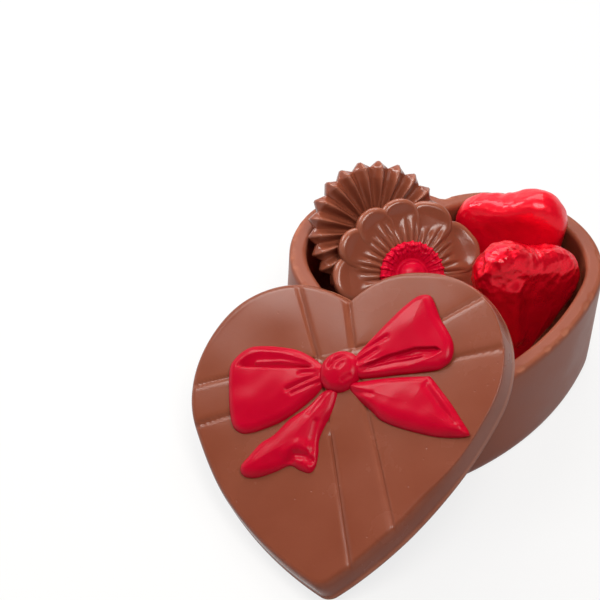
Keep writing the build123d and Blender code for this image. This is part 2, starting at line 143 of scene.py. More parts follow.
def path_distance(points: Array, path: Array) -> Array:
    """Distance in mm from flat points to the nearest run of a path.

    Args:
        points: array (..., 2).
        path: array (k, 2) of corners.

    Returns:
        Array of distances.
    """
    start, run = path[:-1], np.diff(path, axis=0)
    offset = points[..., None, :] - start
    along = np.clip((offset * run).sum(-1) / (run**2).sum(-1), 0.0, 1.0)
    return np.linalg.norm(offset - along[..., None] * run, axis=-1).min(-1)


def closed(loop: Array) -> Array:
    """A loop with its first point once more at its end."""
    return np.vstack([loop, loop[:1]])


def full_turn(count: int) -> Array:
    """Angles in radians, spaced evenly round a full turn."""
    return np.linspace(0.0, 2.0 * np.pi, count, endpoint=False)


def circle(angle: Array) -> Array:
    """Points (n, 2) of the unit circle: the cosine and the sine of each angle in radians."""
    return np.stack([np.cos(angle), np.sin(angle)], axis=1)


def turning(angle: float) -> Array:
    """Matrix (2, 2) that turns rows of flat points by an angle in degrees."""
    cosine, sine = math.cos(math.radians(angle)), math.sin(math.radians(angle))
    return np.array([[cosine, sine], [-sine, cosine]])


def even_steps(path: Array, count: int) -> Array:
    """Points spaced evenly by length along the straight runs of a path.

    Args:
        path: array (k, 2) of corners.
        count: number of points, both ends among them.

    Returns:
        Array (count, 2).
    """
    length = np.concatenate([[0.0], np.cumsum(np.linalg.norm(np.diff(path, axis=0), axis=1))])
    even = np.linspace(0.0, length[-1], count)
    return np.stack([np.interp(even, length, path[:, axis]) for axis in (0, 1)], axis=1)


def closed_curve(corners: Array, count: int) -> Array:
    """Smooth closed curve: a Catmull-Rom cubic between each two corners of a loop.

    Args:
        corners: array (k, 2).
        count: points on the whole curve, spaced evenly along it.

    Returns:
        Array (count, 2).
    """
    before, after, later = (np.roll(corners, shift, axis=0) for shift in (1, -1, -2))
    steps = np.linspace(0.0, 1.0, CURVE_STEPS, endpoint=False)[None, :, None]
    one, two, three, four = (array[:, None, :] for array in (before, corners, after, later))
    curve = 0.5 * (
        2.0 * two
        + (three - one) * steps
        + (2.0 * one - 5.0 * two + 4.0 * three - four) * steps**2
        + (3.0 * two - one - 3.0 * three + four) * steps**3
    )
    return even_steps(closed(curve.reshape(-1, 2)), count + 1)[:-1]


def egg_curve(start: float, end: float, half: float, swell: float, count: int) -> Array:
    """Petal outline: x is a cosine from start to end, y is half x sine x (1 + swell x cosine).

    Args:
        start: distance of the inner end from the flower's axis in mm.
        end: distance of the outer end in mm.
        half: half width in mm.
        swell: how much fuller the outer end is than the inner one.
        count: points on the curve.

    Returns:
        Array (count, 2), counterclockwise.
    """
    angle = full_turn(count)
    along = (start + end) / 2.0 + (end - start) / 2.0 * np.cos(angle)
    return np.stack([along, half * np.sin(angle) * (1.0 + swell * np.cos(angle))], axis=1)


def fan(outline: Array, centre: Array, shares: Array) -> Array:
    """Rings (r, c, 2) of an outline (c, 2): centre + share x (outline - centre)."""
    return centre + shares[:, None, None] * (outline[None] - centre)


def lift_rings(flat: Array, heights: Array) -> Array:
    """Rings in space: flat rings (r, c, 2) with a height for each ring or each point as the third number."""
    levels = np.broadcast_to(heights.reshape(len(flat), -1), flat.shape[:2])
    return np.concatenate([flat, levels[..., None]], axis=-1)


def ring_normals(rings: Array) -> Array:
    """Outward unit normals of rings: the cross product of the steps round and across them.

    Args:
        rings: array (r, c, 3).

    Returns:
        Array (r, c, 3).
    """
    around = np.roll(rings, -1, axis=1) - np.roll(rings, 1, axis=1)
    across = np.gradient(rings, axis=0)
    normals = np.cross(around, across)
    return normals / np.maximum(np.linalg.norm(normals, axis=-1, keepdims=True), 1e-9)


def refined(corners: list[Pair], step: float, passes: int) -> Array:
    """A profile cut to even steps, its inner rows then averaged with their neighbours by 1, 2 and 1.

    Args:
        corners: points of the profile in mm.
        step: length of a step in mm.
        passes: rounds of averaging.

    Returns:
        Array (n, 2).
    """
    path = np.array(corners)
    length = np.linalg.norm(np.diff(path, axis=0), axis=1).sum()
    table = even_steps(path, max(3, round(length / step)))
    for _ in range(passes):
        table = np.vstack([table[:1], (table[:-2] + 2.0 * table[1:-1] + table[2:]) / 4.0, table[-1:]])
    return table


@dataclass(frozen=True)
class Seat:
    """A plane that carries a piece.

    Attributes:
        origin: its zero point in mm.
        across: its sideways direction.
        facing: the direction that it faces.
    """

    origin: Triple
    across: Triple
    facing: Triple

    def place(self, local: Array) -> Array:
        """Local mm to mm of the frame: origin + x across + y along + z facing."""
        axes = np.array([self.across, np.cross(self.facing, self.across), self.facing])
        return np.array(self.origin) + local @ axes

    def raised(self, height: float, across: float = 0.0, along: float = 0.0) -> "Seat":
        """The seat moved by a height, and by distances in its own plane."""
        moved = self.place(np.array([across, along, height]))
        return Seat(tuple(moved), self.across, self.facing)


def leaning_axes(yaw: float, tilt: float) -> tuple[Array, Array, Array]:
    """Sideways, up-slope and facing directions of a piece that leans back.

    Args:
        yaw: turn about the vertical in degrees.
        tilt: lean from upright in degrees.

    Returns:
        Three unit vectors.
    """
    turn, lift = math.radians(yaw), math.radians(tilt)
    side = np.array([math.cos(turn), math.sin(turn), 0.0])
    slope = np.array([-math.sin(turn) * math.sin(lift), math.cos(turn) * math.sin(lift), math.cos(lift)])
    return side, slope, np.cross(side, slope)


@dataclass(frozen=True)
class HeartOutline:
    """Heart of tangent arcs: cleft, lobe, flank and tip, mirrored.

    Attributes:
        width: whole width in mm.
        lobe_offset: distance of a lobe's centre from the middle line in mm.
        flank_radius: radius of a flank in mm.
        flank_angle: angle below level where the lobe meets the flank, in degrees.
        tip_round: radius of the tip in mm.
        cleft_round: radius of the cleft in mm.
    """

    width: float
    lobe_offset: float
    flank_radius: float
    flank_angle: float
    tip_round: float
    cleft_round: float

    def lobe_radius(self) -> float:
        """Radius of one lobe in mm."""
        return self.width / 2.0 - self.lobe_offset

    def flank_centre(self) -> Pair:
        """Centre of the right flank's arc in mm."""
        reach, turn = self.flank_radius - self.lobe_radius(), math.radians(self.flank_angle)
        return self.lobe_offset - reach * math.cos(turn), reach * math.sin(turn)

    def tip_height(self) -> float:
        """Height of the centre of the tip's arc in mm."""
        across, up = self.flank_centre()
        return up - math.sqrt((self.flank_radius - self.tip_round) ** 2 - across**2)

    def cleft_height(self) -> float:
        """Height of the centre of the cleft's arc in mm."""
        return math.sqrt((self.lobe_radius() + self.cleft_round) ** 2 - self.lobe_offset**2)

    def cleft_foot(self) -> float:
        """Height of the lowest point of the cleft in mm."""
        return self.cleft_height() - self.cleft_round

    def middle(self) -> Array:
        """Point halfway between the lobe tops and the tip."""
        return np.array([0.0, (self.lobe_radius() + self.tip_height() - self.tip_round) / 2.0])

    def support(self, angle: float) -> float:
        """Distance from the origin to the left flank's tangent that faces an angle in radians."""
        across, up = self.flank_centre()
        return -across * math.cos(angle) + up * math.sin(angle) + self.flank_radius

    def loop(self, counts: Counts) -> tuple[Array, Array]:
        """Points and outward normals, counterclockwise from the cleft.

        Args:
            counts: points on the cleft, lobe, flank and tip arcs of one half.

        Returns:
            Two arrays (n, 2).
        """
        lobe = self.lobe_radius()
        meet = math.acos(self.lobe_offset / (lobe + self.cleft_round))
        across, up = self.flank_centre()
        turn, low = -math.radians(self.flank_angle), math.atan2(self.tip_height() - up, -across)
        arcs = (
            ((0.0, self.cleft_height()), self.cleft_round, -math.pi / 2.0, -meet, -1.0),
            ((self.lobe_offset, 0.0), lobe, math.pi - meet, turn, 1.0),
            ((across, up), self.flank_radius, turn, low, 1.0),
            ((0.0, self.tip_height()), self.tip_round, low, -math.pi / 2.0, 1.0),
        )
        points, normals = [], []
        for (centre, radius, first, last, sign), count in zip(arcs, counts):
            ways = circle(first + (last - first) * (np.arange(count) + 0.5) / count)
            points.append(np.array(centre) + radius * ways)
            normals.append(sign * ways)
        right, out = np.vstack(points), np.vstack(normals)
        mirror = np.array([-1.0, 1.0])
        return np.vstack([right * mirror, right[::-1]]), np.vstack([out * mirror, out[::-1]])


@dataclass
class Skin:
    """Closed rings in mm of the frame: the first and last ring are poles.

    Attributes:
        rings: array (r, c, 3).
        marks: arrays (r, c) by attribute.
    """

    rings: Array
    marks: dict[Mark, Array] = field(default_factory=dict)

    def vertices(self) -> Array:
        """The lower pole, the rings between, and the upper pole."""
        inner = self.rings[1:-1].reshape(-1, 3)
        return np.vstack([self.rings[0].mean(0), inner, self.rings[-1].mean(0)])

    def faces(self, first: int) -> list[list[int]]:
        """Quads between rings and fans at the poles, as vertex numbers counted from first.

        Args:
            first: number of the skin's first vertex.

        Returns:
            Lists of three or four vertex numbers.
        """
        rows, cols = self.rings.shape[0] - 2, self.rings.shape[1]
        grid = first + 1 + np.arange(rows * cols).reshape(rows, cols)
        after = np.roll(grid, -1, axis=1)
        quads = np.stack([grid[:-1], after[:-1], after[1:], grid[1:]], axis=-1).reshape(-1, 4)
        low = np.stack([np.full(cols, first), after[0], grid[0]], axis=-1)
        high = np.stack([np.full(cols, first + 1 + rows * cols), grid[-1], after[-1]], axis=-1)
        return low.tolist() + quads.tolist() + high.tolist()

    def values(self, mark: Mark) -> Array:
        """One attribute's values in the order of the vertices, 0 where the skin has none."""
        table = self.marks.get(mark, np.zeros(self.rings.shape[:2]))
        return np.concatenate([[table[0].mean()], table[1:-1].ravel(), [table[-1].mean()]])


def make_piece(
    name: str, skins: list[Skin], body: str, node: str, finish: Material
) -> None:
    """Makes one object of closed skins, smooth shaded, that stands for a CAD node.

    Args:
        name: name of the piece.
        skins: its closed skins.
        body: the CAD body that carries it.
        node: the CAD node that it replaces.
        finish: its material.
    """
    vertices, faces, first = [], [], 0
    for skin in skins:
        points = skin.vertices()
        faces += skin.faces(first)
        vertices.append(points)
        first += len(points)
    mesh = bpy.data.meshes.new(name)
    mesh.from_pydata((np.vstack(vertices) * MM).tolist(), [], faces)
    mesh.polygons.foreach_set("use_smooth", np.ones(len(mesh.polygons), dtype=bool))
    for mark in Mark:
        values = np.concatenate([skin.values(mark) for skin in skins]).astype(np.float32)
        mesh.attributes.new(mark.value, "FLOAT", "POINT").data.foreach_set("value", values)
    mesh.materials.append(finish)
    mesh.update()
    piece = bpy.data.objects.new(name, mesh)
    bpy.context.scene.collection.objects.link(piece)
    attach(piece, body)
    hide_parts(node)
    log.info("%s: %d vertices, %d faces", name, len(mesh.vertices), len(mesh.polygons))


def linear(code: str) -> Colour:
    """Linear colour of an sRGB hex code such as 7a4030.

    Args:
        code: six hex digits.

    Returns:
        Red, green, blue and alpha.
    """
    shares = [int(code[place:place + 2], 16) / 255.0 for place in (0, 2, 4)]
    lit = [s / 12.92 if s <= 0.04045 else ((s + 0.055) / 1.055) ** 2.4 for s in shares]
    return lit[0], lit[1], lit[2], 1.0


def per_metre(size: float) -> float:
    """Texture scale on Object coordinates in metres for a pattern size in mm."""
    return 1.0 / (size * MM)


def add_node(tree: bpy.types.NodeTree, kind: str, settings: dict, links: dict) -> bpy.types.Node:
    """Adds one node with its settings and links.

    Args:
        tree: the material's or world's node tree.
        kind: the node's type, without the words that all types start with.
        settings: constant values by name or number of the input, and attributes with an underscore before.
        links: output sockets by name or number of the input that they feed.

    Returns:
        The node.
    """
    node = tree.nodes.new(f"ShaderNode{kind}")
    traits = [key for key in settings if str(key).startswith("_")]
    for key in traits:
        setattr(node, key[1:], settings[key])
    for key, value in settings.items():
        if key not in traits:
            node.inputs[key].default_value = value
    for key, output in links.items():
        tree.links.new(output, node.inputs[key])
    return node


def new_material(name: str) -> tuple[Material, bpy.types.NodeTree]:
    """A material with an empty tree.

    Args:
        name: name of the material.

    Returns:
        The material and its tree.
    """
    material = bpy.data.materials.new(name)
    material.use_nodes = True
    material.node_tree.nodes.clear()
    return material, material.node_tree


@dataclass(frozen=True)
class MouldedChocolate:
    """Milk chocolate cast in a polished mould: satin, soft cocoa-butter clouds, pale edges that are partly
    scuffed and partly painted highlight.

    Attributes:
        name: name of the material.
        roughness: least and most roughness.
        shine: level of the mirror light, 0.5 for a bare polished face.
        dark: deep brown of the mass.
        light: warm brown of the clouds.
        scuffed: paler brown of rubbed edges, and of the highlights painted along edges, ridges and groove
            lines.
        cloud: size of a cloud in mm.
        cloud_detail: octaves of the clouds, and the share that each keeps.
        cloud_range: cloud values that get the least and the most roughness.
        raw: roughness added where the mass set in the open air.
        grain: size of the sugar grain in mm, drawn coarser than the real 0.02 mm so that it shows.
        grain_detail: octaves of the grain, and the share that each keeps.
        grain_relief: strength of its bump, and depth in mm.
        pit: spacing of the small air pits in mm.
        pit_edge: start and end of a pit's wall, as shares of the spacing.
        pit_relief: strength of its bump, and depth in mm.
        ior: refraction of cocoa butter.
        glow: share of light that passes under the surface, and how deep in mm.
        glow_tint: how far red, green and blue travel there, as shares of that depth.
    """

    name: str
    roughness: Pair
    shine: float
    dark: str = "763b29"
    light: str = "864733"
    scuffed: str = "a86c55"
    cloud: float = 22.0
    cloud_detail: Pair = (5.0, 0.55)
    cloud_range: Pair = (0.3, 0.7)
    raw: float = 0.6
    grain: float = 0.7
    grain_detail: Pair = (2.0, 0.6)
    grain_relief: Pair = (0.25, 0.08)
    pit: float = 5.0
    pit_edge: Pair = (0.03, 0.09)
    pit_relief: Pair = (0.35, 0.15)
    ior: float = 1.47
    glow: Pair = (0.06, 1.2)
    glow_tint: Triple = (1.0, 0.45, 0.25)

    def build(self) -> Material:
        """Makes the material: clouds, wear and painted highlights set the colour, pits and grain the bump.

        Returns:
            The material.
        """
        material, tree = new_material(self.name)
        place = add_node(tree, "TexCoord", {}, {}).outputs["Object"]
        clouds, grain = (
            add_node(
                tree, "TexNoise", {"Scale": per_metre(size), "Detail": octaves, "Roughness": kept},
                {"Vector": place},
            ).outputs["Fac"]
            for size, (octaves, kept) in ((self.cloud, self.cloud_detail), (self.grain, self.grain_detail))
        )
        wear_and_highlight, raw = (
            add_node(tree, "Attribute", {"_attribute_name": mark.value}, {}).outputs["Fac"]
            for mark in (Mark.WEAR, Mark.RAW)
        )
        pits = add_node(tree, "TexVoronoi", {"Scale": per_metre(self.pit)}, {"Vector": place})
        worn = add_node(tree, "Math", {"_operation": "MULTIPLY", "_use_clamp": True}, {0: wear_and_highlight, 1: clouds})
        mass = add_node(
            tree, "Mix", {"_data_type": "RGBA", 6: linear(self.dark), 7: linear(self.light)}, {0: clouds}
        )
        # Paler brown where the edge mark is high: rubbed edges, and highlights painted on edges, ridges and
        # groove lines.
        colour = add_node(
            tree, "Mix", {"_data_type": "RGBA", 7: linear(self.scuffed)},
            {0: worn.outputs[0], 6: mass.outputs[2]},
        )
        rough = add_node(
            tree, "MapRange",
            {
                "From Min": self.cloud_range[0], "From Max": self.cloud_range[1],
                "To Min": self.roughness[0], "To Max": self.roughness[1],
            },
            {"Value": clouds},
        )
        dull = add_node(
            tree, "Math", {"_operation": "MULTIPLY_ADD", "_use_clamp": True, 1: self.raw},
            {0: raw, 2: rough.outputs[0]},
        )
        hole = add_node(
            tree, "MapRange",
            {
                "_interpolation_type": "SMOOTHSTEP", "From Min": self.pit_edge[0],
                "From Max": self.pit_edge[1], "To Min": 0.0, "To Max": 1.0,
            },
            {"Value": pits.outputs["Distance"]},
        )
        pitted = add_node(
            tree, "Bump", {"Strength": self.pit_relief[0], "Distance": self.pit_relief[1] * MM},
            {"Height": hole.outputs[0]},
        )
        bumped = add_node(
            tree, "Bump", {"Strength": self.grain_relief[0], "Distance": self.grain_relief[1] * MM},
            {"Height": grain, "Normal": pitted.outputs[0]},
        )
        shader = add_node(
            tree, "BsdfPrincipled",
            {
                "IOR": self.ior, "Specular IOR Level": self.shine, "Subsurface Weight": self.glow[0],
                "Subsurface Scale": self.glow[1] * MM, "Subsurface Radius": self.glow_tint,
            },
            {"Base Color": colour.outputs[2], "Roughness": dull.outputs[0], "Normal": bumped.outputs[0]},
        )
        add_node(tree, "OutputMaterial", {}, {"Surface": shader.outputs[0]})
        return material


@dataclass(frozen=True)
class CandyCoating:
    """Tinted white confectionery coating brushed into the mould: glossy raspberry red over chocolate.

    Attributes:
        name: name of the material.
        deep: red of the thick coat.
        bright: red where the coat is thinner.
        under: brown of the chocolate at the foot of a piece.
        cloud: size of the brushed clouds in mm.
        cloud_detail: octaves of the clouds.
        cloud_rise: height of the clouds, as a share of a speck's.
        speck: spacing of the raised sugar specks in mm.
        speck_edge: top and foot of a speck's slope, as shares of the spacing.
        relief: strength of the bump, and depth in mm.
        roughness: roughness of the coat.
        shine: level of the mirror light.
        ior: refraction of the fat.
        glow: share of light that passes under the surface, and how deep in mm.
        glow_tint: how far red, green and blue travel there, as shares of that depth.
    """

    name: str
    deep: str
    bright: str
    under: str = "7d4634"
    cloud: float = 12.0
    cloud_detail: float = 4.0
    cloud_rise: float = 0.6
    speck: float = 4.0
    speck_edge: Pair = (0.02, 0.08)
    relief: Pair = (0.25, 0.25)
    roughness: float = 0.26
    shine: float = 0.1
    ior: float = 1.47
    glow: Pair = (0.08, 1.0)
    glow_tint: Triple = (1.0, 0.2, 0.15)

    def build(self) -> Material:
        """Makes the material: red clouds over brown at the foot, with small specks.

        Returns:
            The material.
        """
        material, tree = new_material(self.name)
        place = add_node(tree, "TexCoord", {}, {}).outputs["Object"]
        clouds = add_node(
            tree, "TexNoise", {"Scale": per_metre(self.cloud), "Detail": self.cloud_detail},
            {"Vector": place},
        ).outputs["Fac"]
        specks = add_node(tree, "TexVoronoi", {"Scale": per_metre(self.speck)}, {"Vector": place})
        foot = add_node(tree, "Attribute", {"_attribute_name": Mark.BARE.value}, {})
        red = add_node(
            tree, "Mix", {"_data_type": "RGBA", 6: linear(self.deep), 7: linear(self.bright)}, {0: clouds}
        )
        colour = add_node(
            tree, "Mix", {"_data_type": "RGBA", 7: linear(self.under)},
            {0: foot.outputs["Fac"], 6: red.outputs[2]},
        )
        dot = add_node(
            tree, "MapRange",
            {
                "_interpolation_type": "SMOOTHSTEP", "From Min": self.speck_edge[0],
                "From Max": self.speck_edge[1], "To Min": 1.0, "To Max": 0.0,
            },
            {"Value": specks.outputs["Distance"]},
        )
        height = add_node(
            tree, "Math", {"_operation": "MULTIPLY_ADD", 1: self.cloud_rise}, {0: clouds, 2: dot.outputs[0]}
        )
        bump = add_node(
            tree, "Bump", {"Strength": self.relief[0], "Distance": self.relief[1] * MM},
            {"Height": height.outputs[0]},
        )
        shader = add_node(
            tree, "BsdfPrincipled",
            {
                "Roughness": self.roughness, "IOR": self.ior, "Specular IOR Level": self.shine,
                "Subsurface Weight": self.glow[0], "Subsurface Scale": self.glow[1] * MM,
                "Subsurface Radius": self.glow_tint,
            },
            {"Base Color": colour.outputs[2], "Normal": bump.outputs[0]},
        )
        add_node(tree, "OutputMaterial", {}, {"Surface": shader.outputs[0]})
        return material


@dataclass(frozen=True)
class CandyFoil:
    """Red lacquered aluminium foil pressed round a sweet: mirror facets with fine crinkles.

    Attributes:
        name: name of the material.
        metal: share of bare metal light under the lacquer.
        roughness: least and most roughness.
        deep: red of the lacquer in the folds.
        bright: red of the lacquer on open faces.
        crinkle: size of the crinkles in mm.
        crinkle_relief: strength of their bump, and depth in mm.
        warp_detail: octaves of the clouds that warp the crinkles.
        warp_range: values of these clouds that get the least and the most roughness.
        grain: size of the fine pressed grain in mm.
        grain_detail: octaves of the grain.
        grain_relief: strength of its bump, and depth in mm.
        shine: level of the mirror light.
        lacquer: weight and roughness of the clear coat.
    """

    name: str
    metal: float
    roughness: Pair
    deep: str = "d00018"
    bright: str = "ee0428"
    crinkle: float = 3.2
    crinkle_relief: Pair = (0.8, 0.9)
    warp_detail: float = 2.0
    warp_range: Pair = (0.3, 0.7)
    grain: float = 0.9
    grain_detail: float = 3.0
    grain_relief: Pair = (0.16, 0.2)
    shine: float = 0.2
    lacquer: Pair = (0.25, 0.05)

    def build(self) -> Material:
        """Makes the material: a tinted metal under a clear lacquer, creased by cells and grain.

        Returns:
            The material.
        """
        material, tree = new_material(self.name)
        place = add_node(tree, "TexCoord", {}, {}).outputs["Object"]
        warp, grain = (
            add_node(
                tree, "TexNoise", {"Scale": per_metre(size), "Detail": octaves}, {"Vector": place}
            ).outputs
            for size, octaves in ((2.0 * self.crinkle, self.warp_detail), (self.grain, self.grain_detail))
        )
        pushed = add_node(
            tree, "VectorMath", {"_operation": "MULTIPLY_ADD", 1: (self.crinkle * MM,) * 3},
            {0: warp["Color"], 2: place},
        )
        cells = add_node(
            tree, "TexVoronoi", {"Scale": per_metre(self.crinkle)}, {"Vector": pushed.outputs[0]}
        )
        crisp = add_node(tree, "Attribute", {"_attribute_name": Mark.WEAR.value}, {})
        colour = add_node(
            tree, "Mix", {"_data_type": "RGBA", 6: linear(self.bright), 7: linear(self.deep)},
            {0: warp["Fac"]},
        )
        rough = add_node(
            tree, "MapRange",
            {
                "From Min": self.warp_range[0], "From Max": self.warp_range[1],
                "To Min": self.roughness[0], "To Max": self.roughness[1],
            },
            {"Value": warp["Fac"]},
        )
        creased = add_node(
            tree, "Math", {"_operation": "MULTIPLY"}, {0: cells.outputs["Distance"], 1: crisp.outputs["Fac"]}
        )
        facets = add_node(
            tree, "Bump", {"Strength": self.crinkle_relief[0], "Distance": self.crinkle_relief[1] * MM},
            {"Height": creased.outputs[0]},
        )
        bump = add_node(
            tree, "Bump", {"Strength": self.grain_relief[0], "Distance": self.grain_relief[1] * MM},
            {"Height": grain["Fac"], "Normal": facets.outputs[0]},
        )
        shader = add_node(
            tree, "BsdfPrincipled",
            {
                "Metallic": self.metal, "Specular IOR Level": self.shine,
                "Coat Weight": self.lacquer[0], "Coat Roughness": self.lacquer[1],
            },
            {"Base Color": colour.outputs[2], "Roughness": rough.outputs[0], "Normal": bump.outputs[0]},
        )
        add_node(tree, "OutputMaterial", {}, {"Surface": shader.outputs[0]})
        return material


@dataclass
class BaseTray:
    """Heart tray: foot, satin wall, flat scraped rim and hollow.

    Attributes:
        outer: outline of the wall.
        inner: outline of the hollow.
        height: height of the rim in mm.
        floor: thickness of the floor in mm.
        rim_round: rounding of the rim's outer edge in mm.
        rim_inner: rounding of the rim's inner edge in mm.
        foot_round: rounding of the foot in mm.
        well_round: rounding at the floor of the hollow in mm.
        wave: depth and length of the hand-cast unevenness in mm.
        wave_start: height over the table where that unevenness is full, in mm.
        chip: depth and spacing of the chips along the rim in mm.
        steps: length of a step along the wall, the rim's edge and the hollow in mm.
        seeds: random seeds of the unevenness and the chips.
        counts: points on the four arcs of half an outline.
    """

    outer: HeartOutline = HeartOutline(110.0, 18.7, 118.0, 23.5, 7.6, 2.5)
    inner: HeartOutline = HeartOutline(98.0, 18.7, 112.0, 23.5, 4.5, 4.0)
    height: float = 40.5
    floor: float = 6.0
    rim_round: float = 1.5
    rim_inner: float = 0.8
    foot_round: float = 1.2
    well_round: float = 2.5
    wave: Pair = (0.14, 34.0)
    wave_start: float = 8.0
    chip: Pair = (0.35, 5.0)
    steps: Triple = (1.5, 0.25, 0.8)
    seeds: tuple[int, int] = (3, 5)
    counts: Counts = (8, 90, 120, 22)

    def skin(self) -> Skin:
        """Profile of foot, wall, rim, hollow and floor carried round both outlines.

        Returns:
            The closed skin, with wear along the rim's edge.
        """
        wall, out = self.outer.loop(self.counts)
        hollow, hollow_out = self.inner.loop(self.counts)
        top, rim, lip = self.height, self.rim_round, self.rim_inner
        foot, well = self.foot_round, self.well_round
        wall_step, edge_step, inside_step = self.steps
        outside = refined(
            [(foot, 0.0), (0.3 * foot, 0.3 * foot), (0.0, foot), (0.0, top - rim)], wall_step, 1
        )
        edge = refined(
            [(0.0, top - rim), (0.25 * rim, top - 0.3 * rim), (rim, top), (1.8 * rim, top)], edge_step, 2
        )
        inside = refined(
            [
                (2.0 * lip, top), (0.25 * lip, top - 0.25 * lip), (0.0, top - lip), (0.0, self.floor + well),
                (-0.3 * well, self.floor + 0.3 * well), (-well, self.floor),
            ],
            inside_step, 1,
        )
        edge_line, lip_line = wall - edge[-1, 0] * out, hollow + inside[0, 0] * hollow_out
        across = np.linspace(0.2, 0.8, 4)
        rings = [wall - depth * out for depth in (*outside[:, 0], *edge[1:, 0])]
        rings += [edge_line + share * (lip_line - edge_line) for share in across]
        rings += [hollow + depth * hollow_out for depth in inside[:, 0]]
        under = fan(wall - foot * out, self.outer.middle(), np.array([0.0, 0.4, 0.8]))
        bottom = fan(hollow - well * hollow_out, self.outer.middle(), np.array([0.85, 0.5, 0.0]))
        levels = np.concatenate(
            [
                np.zeros(len(under)), outside[:, 1], edge[1:, 1], np.full(len(across), top), inside[:, 1],
                np.full(len(bottom), self.floor),
            ]
        )
        rings = lift_rings(np.concatenate([under, np.array(rings), bottom]), levels)
        return self.worn(rings, len(under), len(under) + len(outside), len(edge))

    def worn(self, rings: Array, under: int, first_edge: int, edge: int) -> Skin:
        """The tray with soft waves along its normals, and chips that a bell of rows keeps to the rim's edge.
        The same bell paints the rim's edge paler: partly wear, partly painted highlight.

        Args:
            rings: the even tray in mm.
            under: rows on the table.
            first_edge: first row of the rim's edge.
            edge: rows of that edge.

        Returns:
            The closed skin.
        """
        rows = np.arange(len(rings))[:, None]
        near_edge = bell(rows - (first_edge + 0.35 * edge), 0.3 * edge)
        (depth, length), (chip, spacing), (wave_seed, chip_seed) = self.wave, self.chip, self.seeds
        upper = smooth(0.0, self.wave_start, rings[..., 2])
        swell = depth * ripple(rings * np.array([1.0, 1.0, 0.5]), length, wave_seed) * upper
        chips = smooth(0.25, 0.9, ripple(rings * np.array([1.0, 1.0, 0.2]), spacing, chip_seed, 20))
        moved = swell[..., None] * ring_normals(rings)
        moved[..., 2] *= rows >= under
        moved[0] = moved[-1] = 0.0
        rings = rings + moved
        rings[..., 2] -= chip * chips * near_edge
        # Paler rim edge: partly rubbed wear, partly painted highlight.
        return Skin(rings, {Mark.WEAR: np.clip(near_edge * (0.35 + 0.6 * chips), 0.0, 1.0)})


@dataclass(frozen=True)
class Crease:
    """A pressed line: a bell of some depth along a path, negative for a ridge.

    Attributes:
        path: corners as shares of the bow's reach.
        depth: depth in mm.
        half: half width in mm.
    """

    path: Path
    depth: float
    half: float

    def press(self, points: Array, reach: float) -> Array:
        """Depth in mm at flat points: a bell of their distance to the path."""
        return self.depth * bell(path_distance(points, np.array(self.path) * reach), self.half)


@dataclass(frozen=True)
class Mouth:
    """The open mouth of a ribbon loop: the surface drops at one lip and climbs to the other.

    Attributes:
        drop_lip: corners of the lip where it drops, as shares of the bow's reach, by rising x.
        far_lip: corners of the lip that it climbs to, by rising x.
        depth: depth of the drop in mm.
        fade: length over which both ends fade out in mm.
        step: width of the drop in mm.
        least: least distance between the lips in mm.
    """

    drop_lip: Path
    far_lip: Path
    depth: float
    fade: float = 3.0
    step: float = 0.45
    least: float = 0.2

    def press(self, points: Array, reach: float) -> Array:
        """Depth in mm: full at the drop lip, nothing at the far lip, nothing outside.

        Args:
            points: flat points in mm.
            reach: the bow's reach in mm.

        Returns:
            Array of depths.
        """
        drop, far = (np.array(lip) * reach for lip in (self.drop_lip, self.far_lip))
        x, first, last = points[..., 0], drop[0, 0], drop[-1, 0]
        low, high = np.interp(x, drop[:, 0], drop[:, 1]), np.interp(x, far[:, 0], far[:, 1])
        gap = np.where(np.abs(high - low) < self.least, self.least, high - low)
        share = (points[..., 1] - low) / gap
        inside = smooth(-0.3, 1.0, share / (self.step / np.abs(gap))) * (share < 1.0)
        ends = smooth(first, first + self.fade, x) * smooth(last, last - self.fade, x)
        return self.depth * inside * np.clip(1.0 - share, 0.0, 1.0) * ends


@dataclass(frozen=True)
class RibbonPiece:
    """A cushioned piece of the bow.

    Attributes:
        node: its CAD node.
        outline: corners as shares of the bow's reach, in order.
        presses: its creases and mouths.
    """

    node: str
    outline: Path
    presses: tuple[Crease | Mouth, ...]


LEFT_LOOP = RibbonPiece(
    "bow_left_loop",
    (
        (-0.13, 0.07), (-0.34, 0.21), (-0.53, 0.265), (-0.7, 0.288), (-0.81, 0.285),
        (-0.9, 0.239), (-0.968, 0.166), (-0.988, 0.088), (-0.97, -0.115), (-0.938, -0.29),
        (-0.893, -0.405), (-0.815, -0.461), (-0.722, -0.463), (-0.617, -0.439), (-0.46, -0.385),
        (-0.293, -0.283), (-0.16, -0.17), (-0.09, -0.04),
    ),
    (
        Mouth(
            ((-0.91, 0.105), (-0.71, 0.075), (-0.497, 0.055), (-0.19, 0.04)),
            ((-0.91, 0.13), (-0.8, 0.2), (-0.68, 0.225), (-0.49, 0.19), (-0.275, 0.115), (-0.19, 0.06)), 1.7,
        ),
        Crease(((-0.41, -0.132), (-0.3, -0.085), (-0.16, -0.03)), 0.7, 0.8),
        Crease(((-0.37, -0.165), (-0.25, -0.12), (-0.14, -0.08)), 0.5, 0.7),
        Crease(((-0.72, 0.13), (-0.5, 0.12), (-0.25, 0.07)), -0.35, 0.7),
        Crease(((-0.3, 0.0), (-0.14, 0.0)), 0.45, 0.9),
        Crease(((-0.82, -0.2), (-0.5, -0.12), (-0.2, -0.05)), -0.25, 4.5),
    ),
)
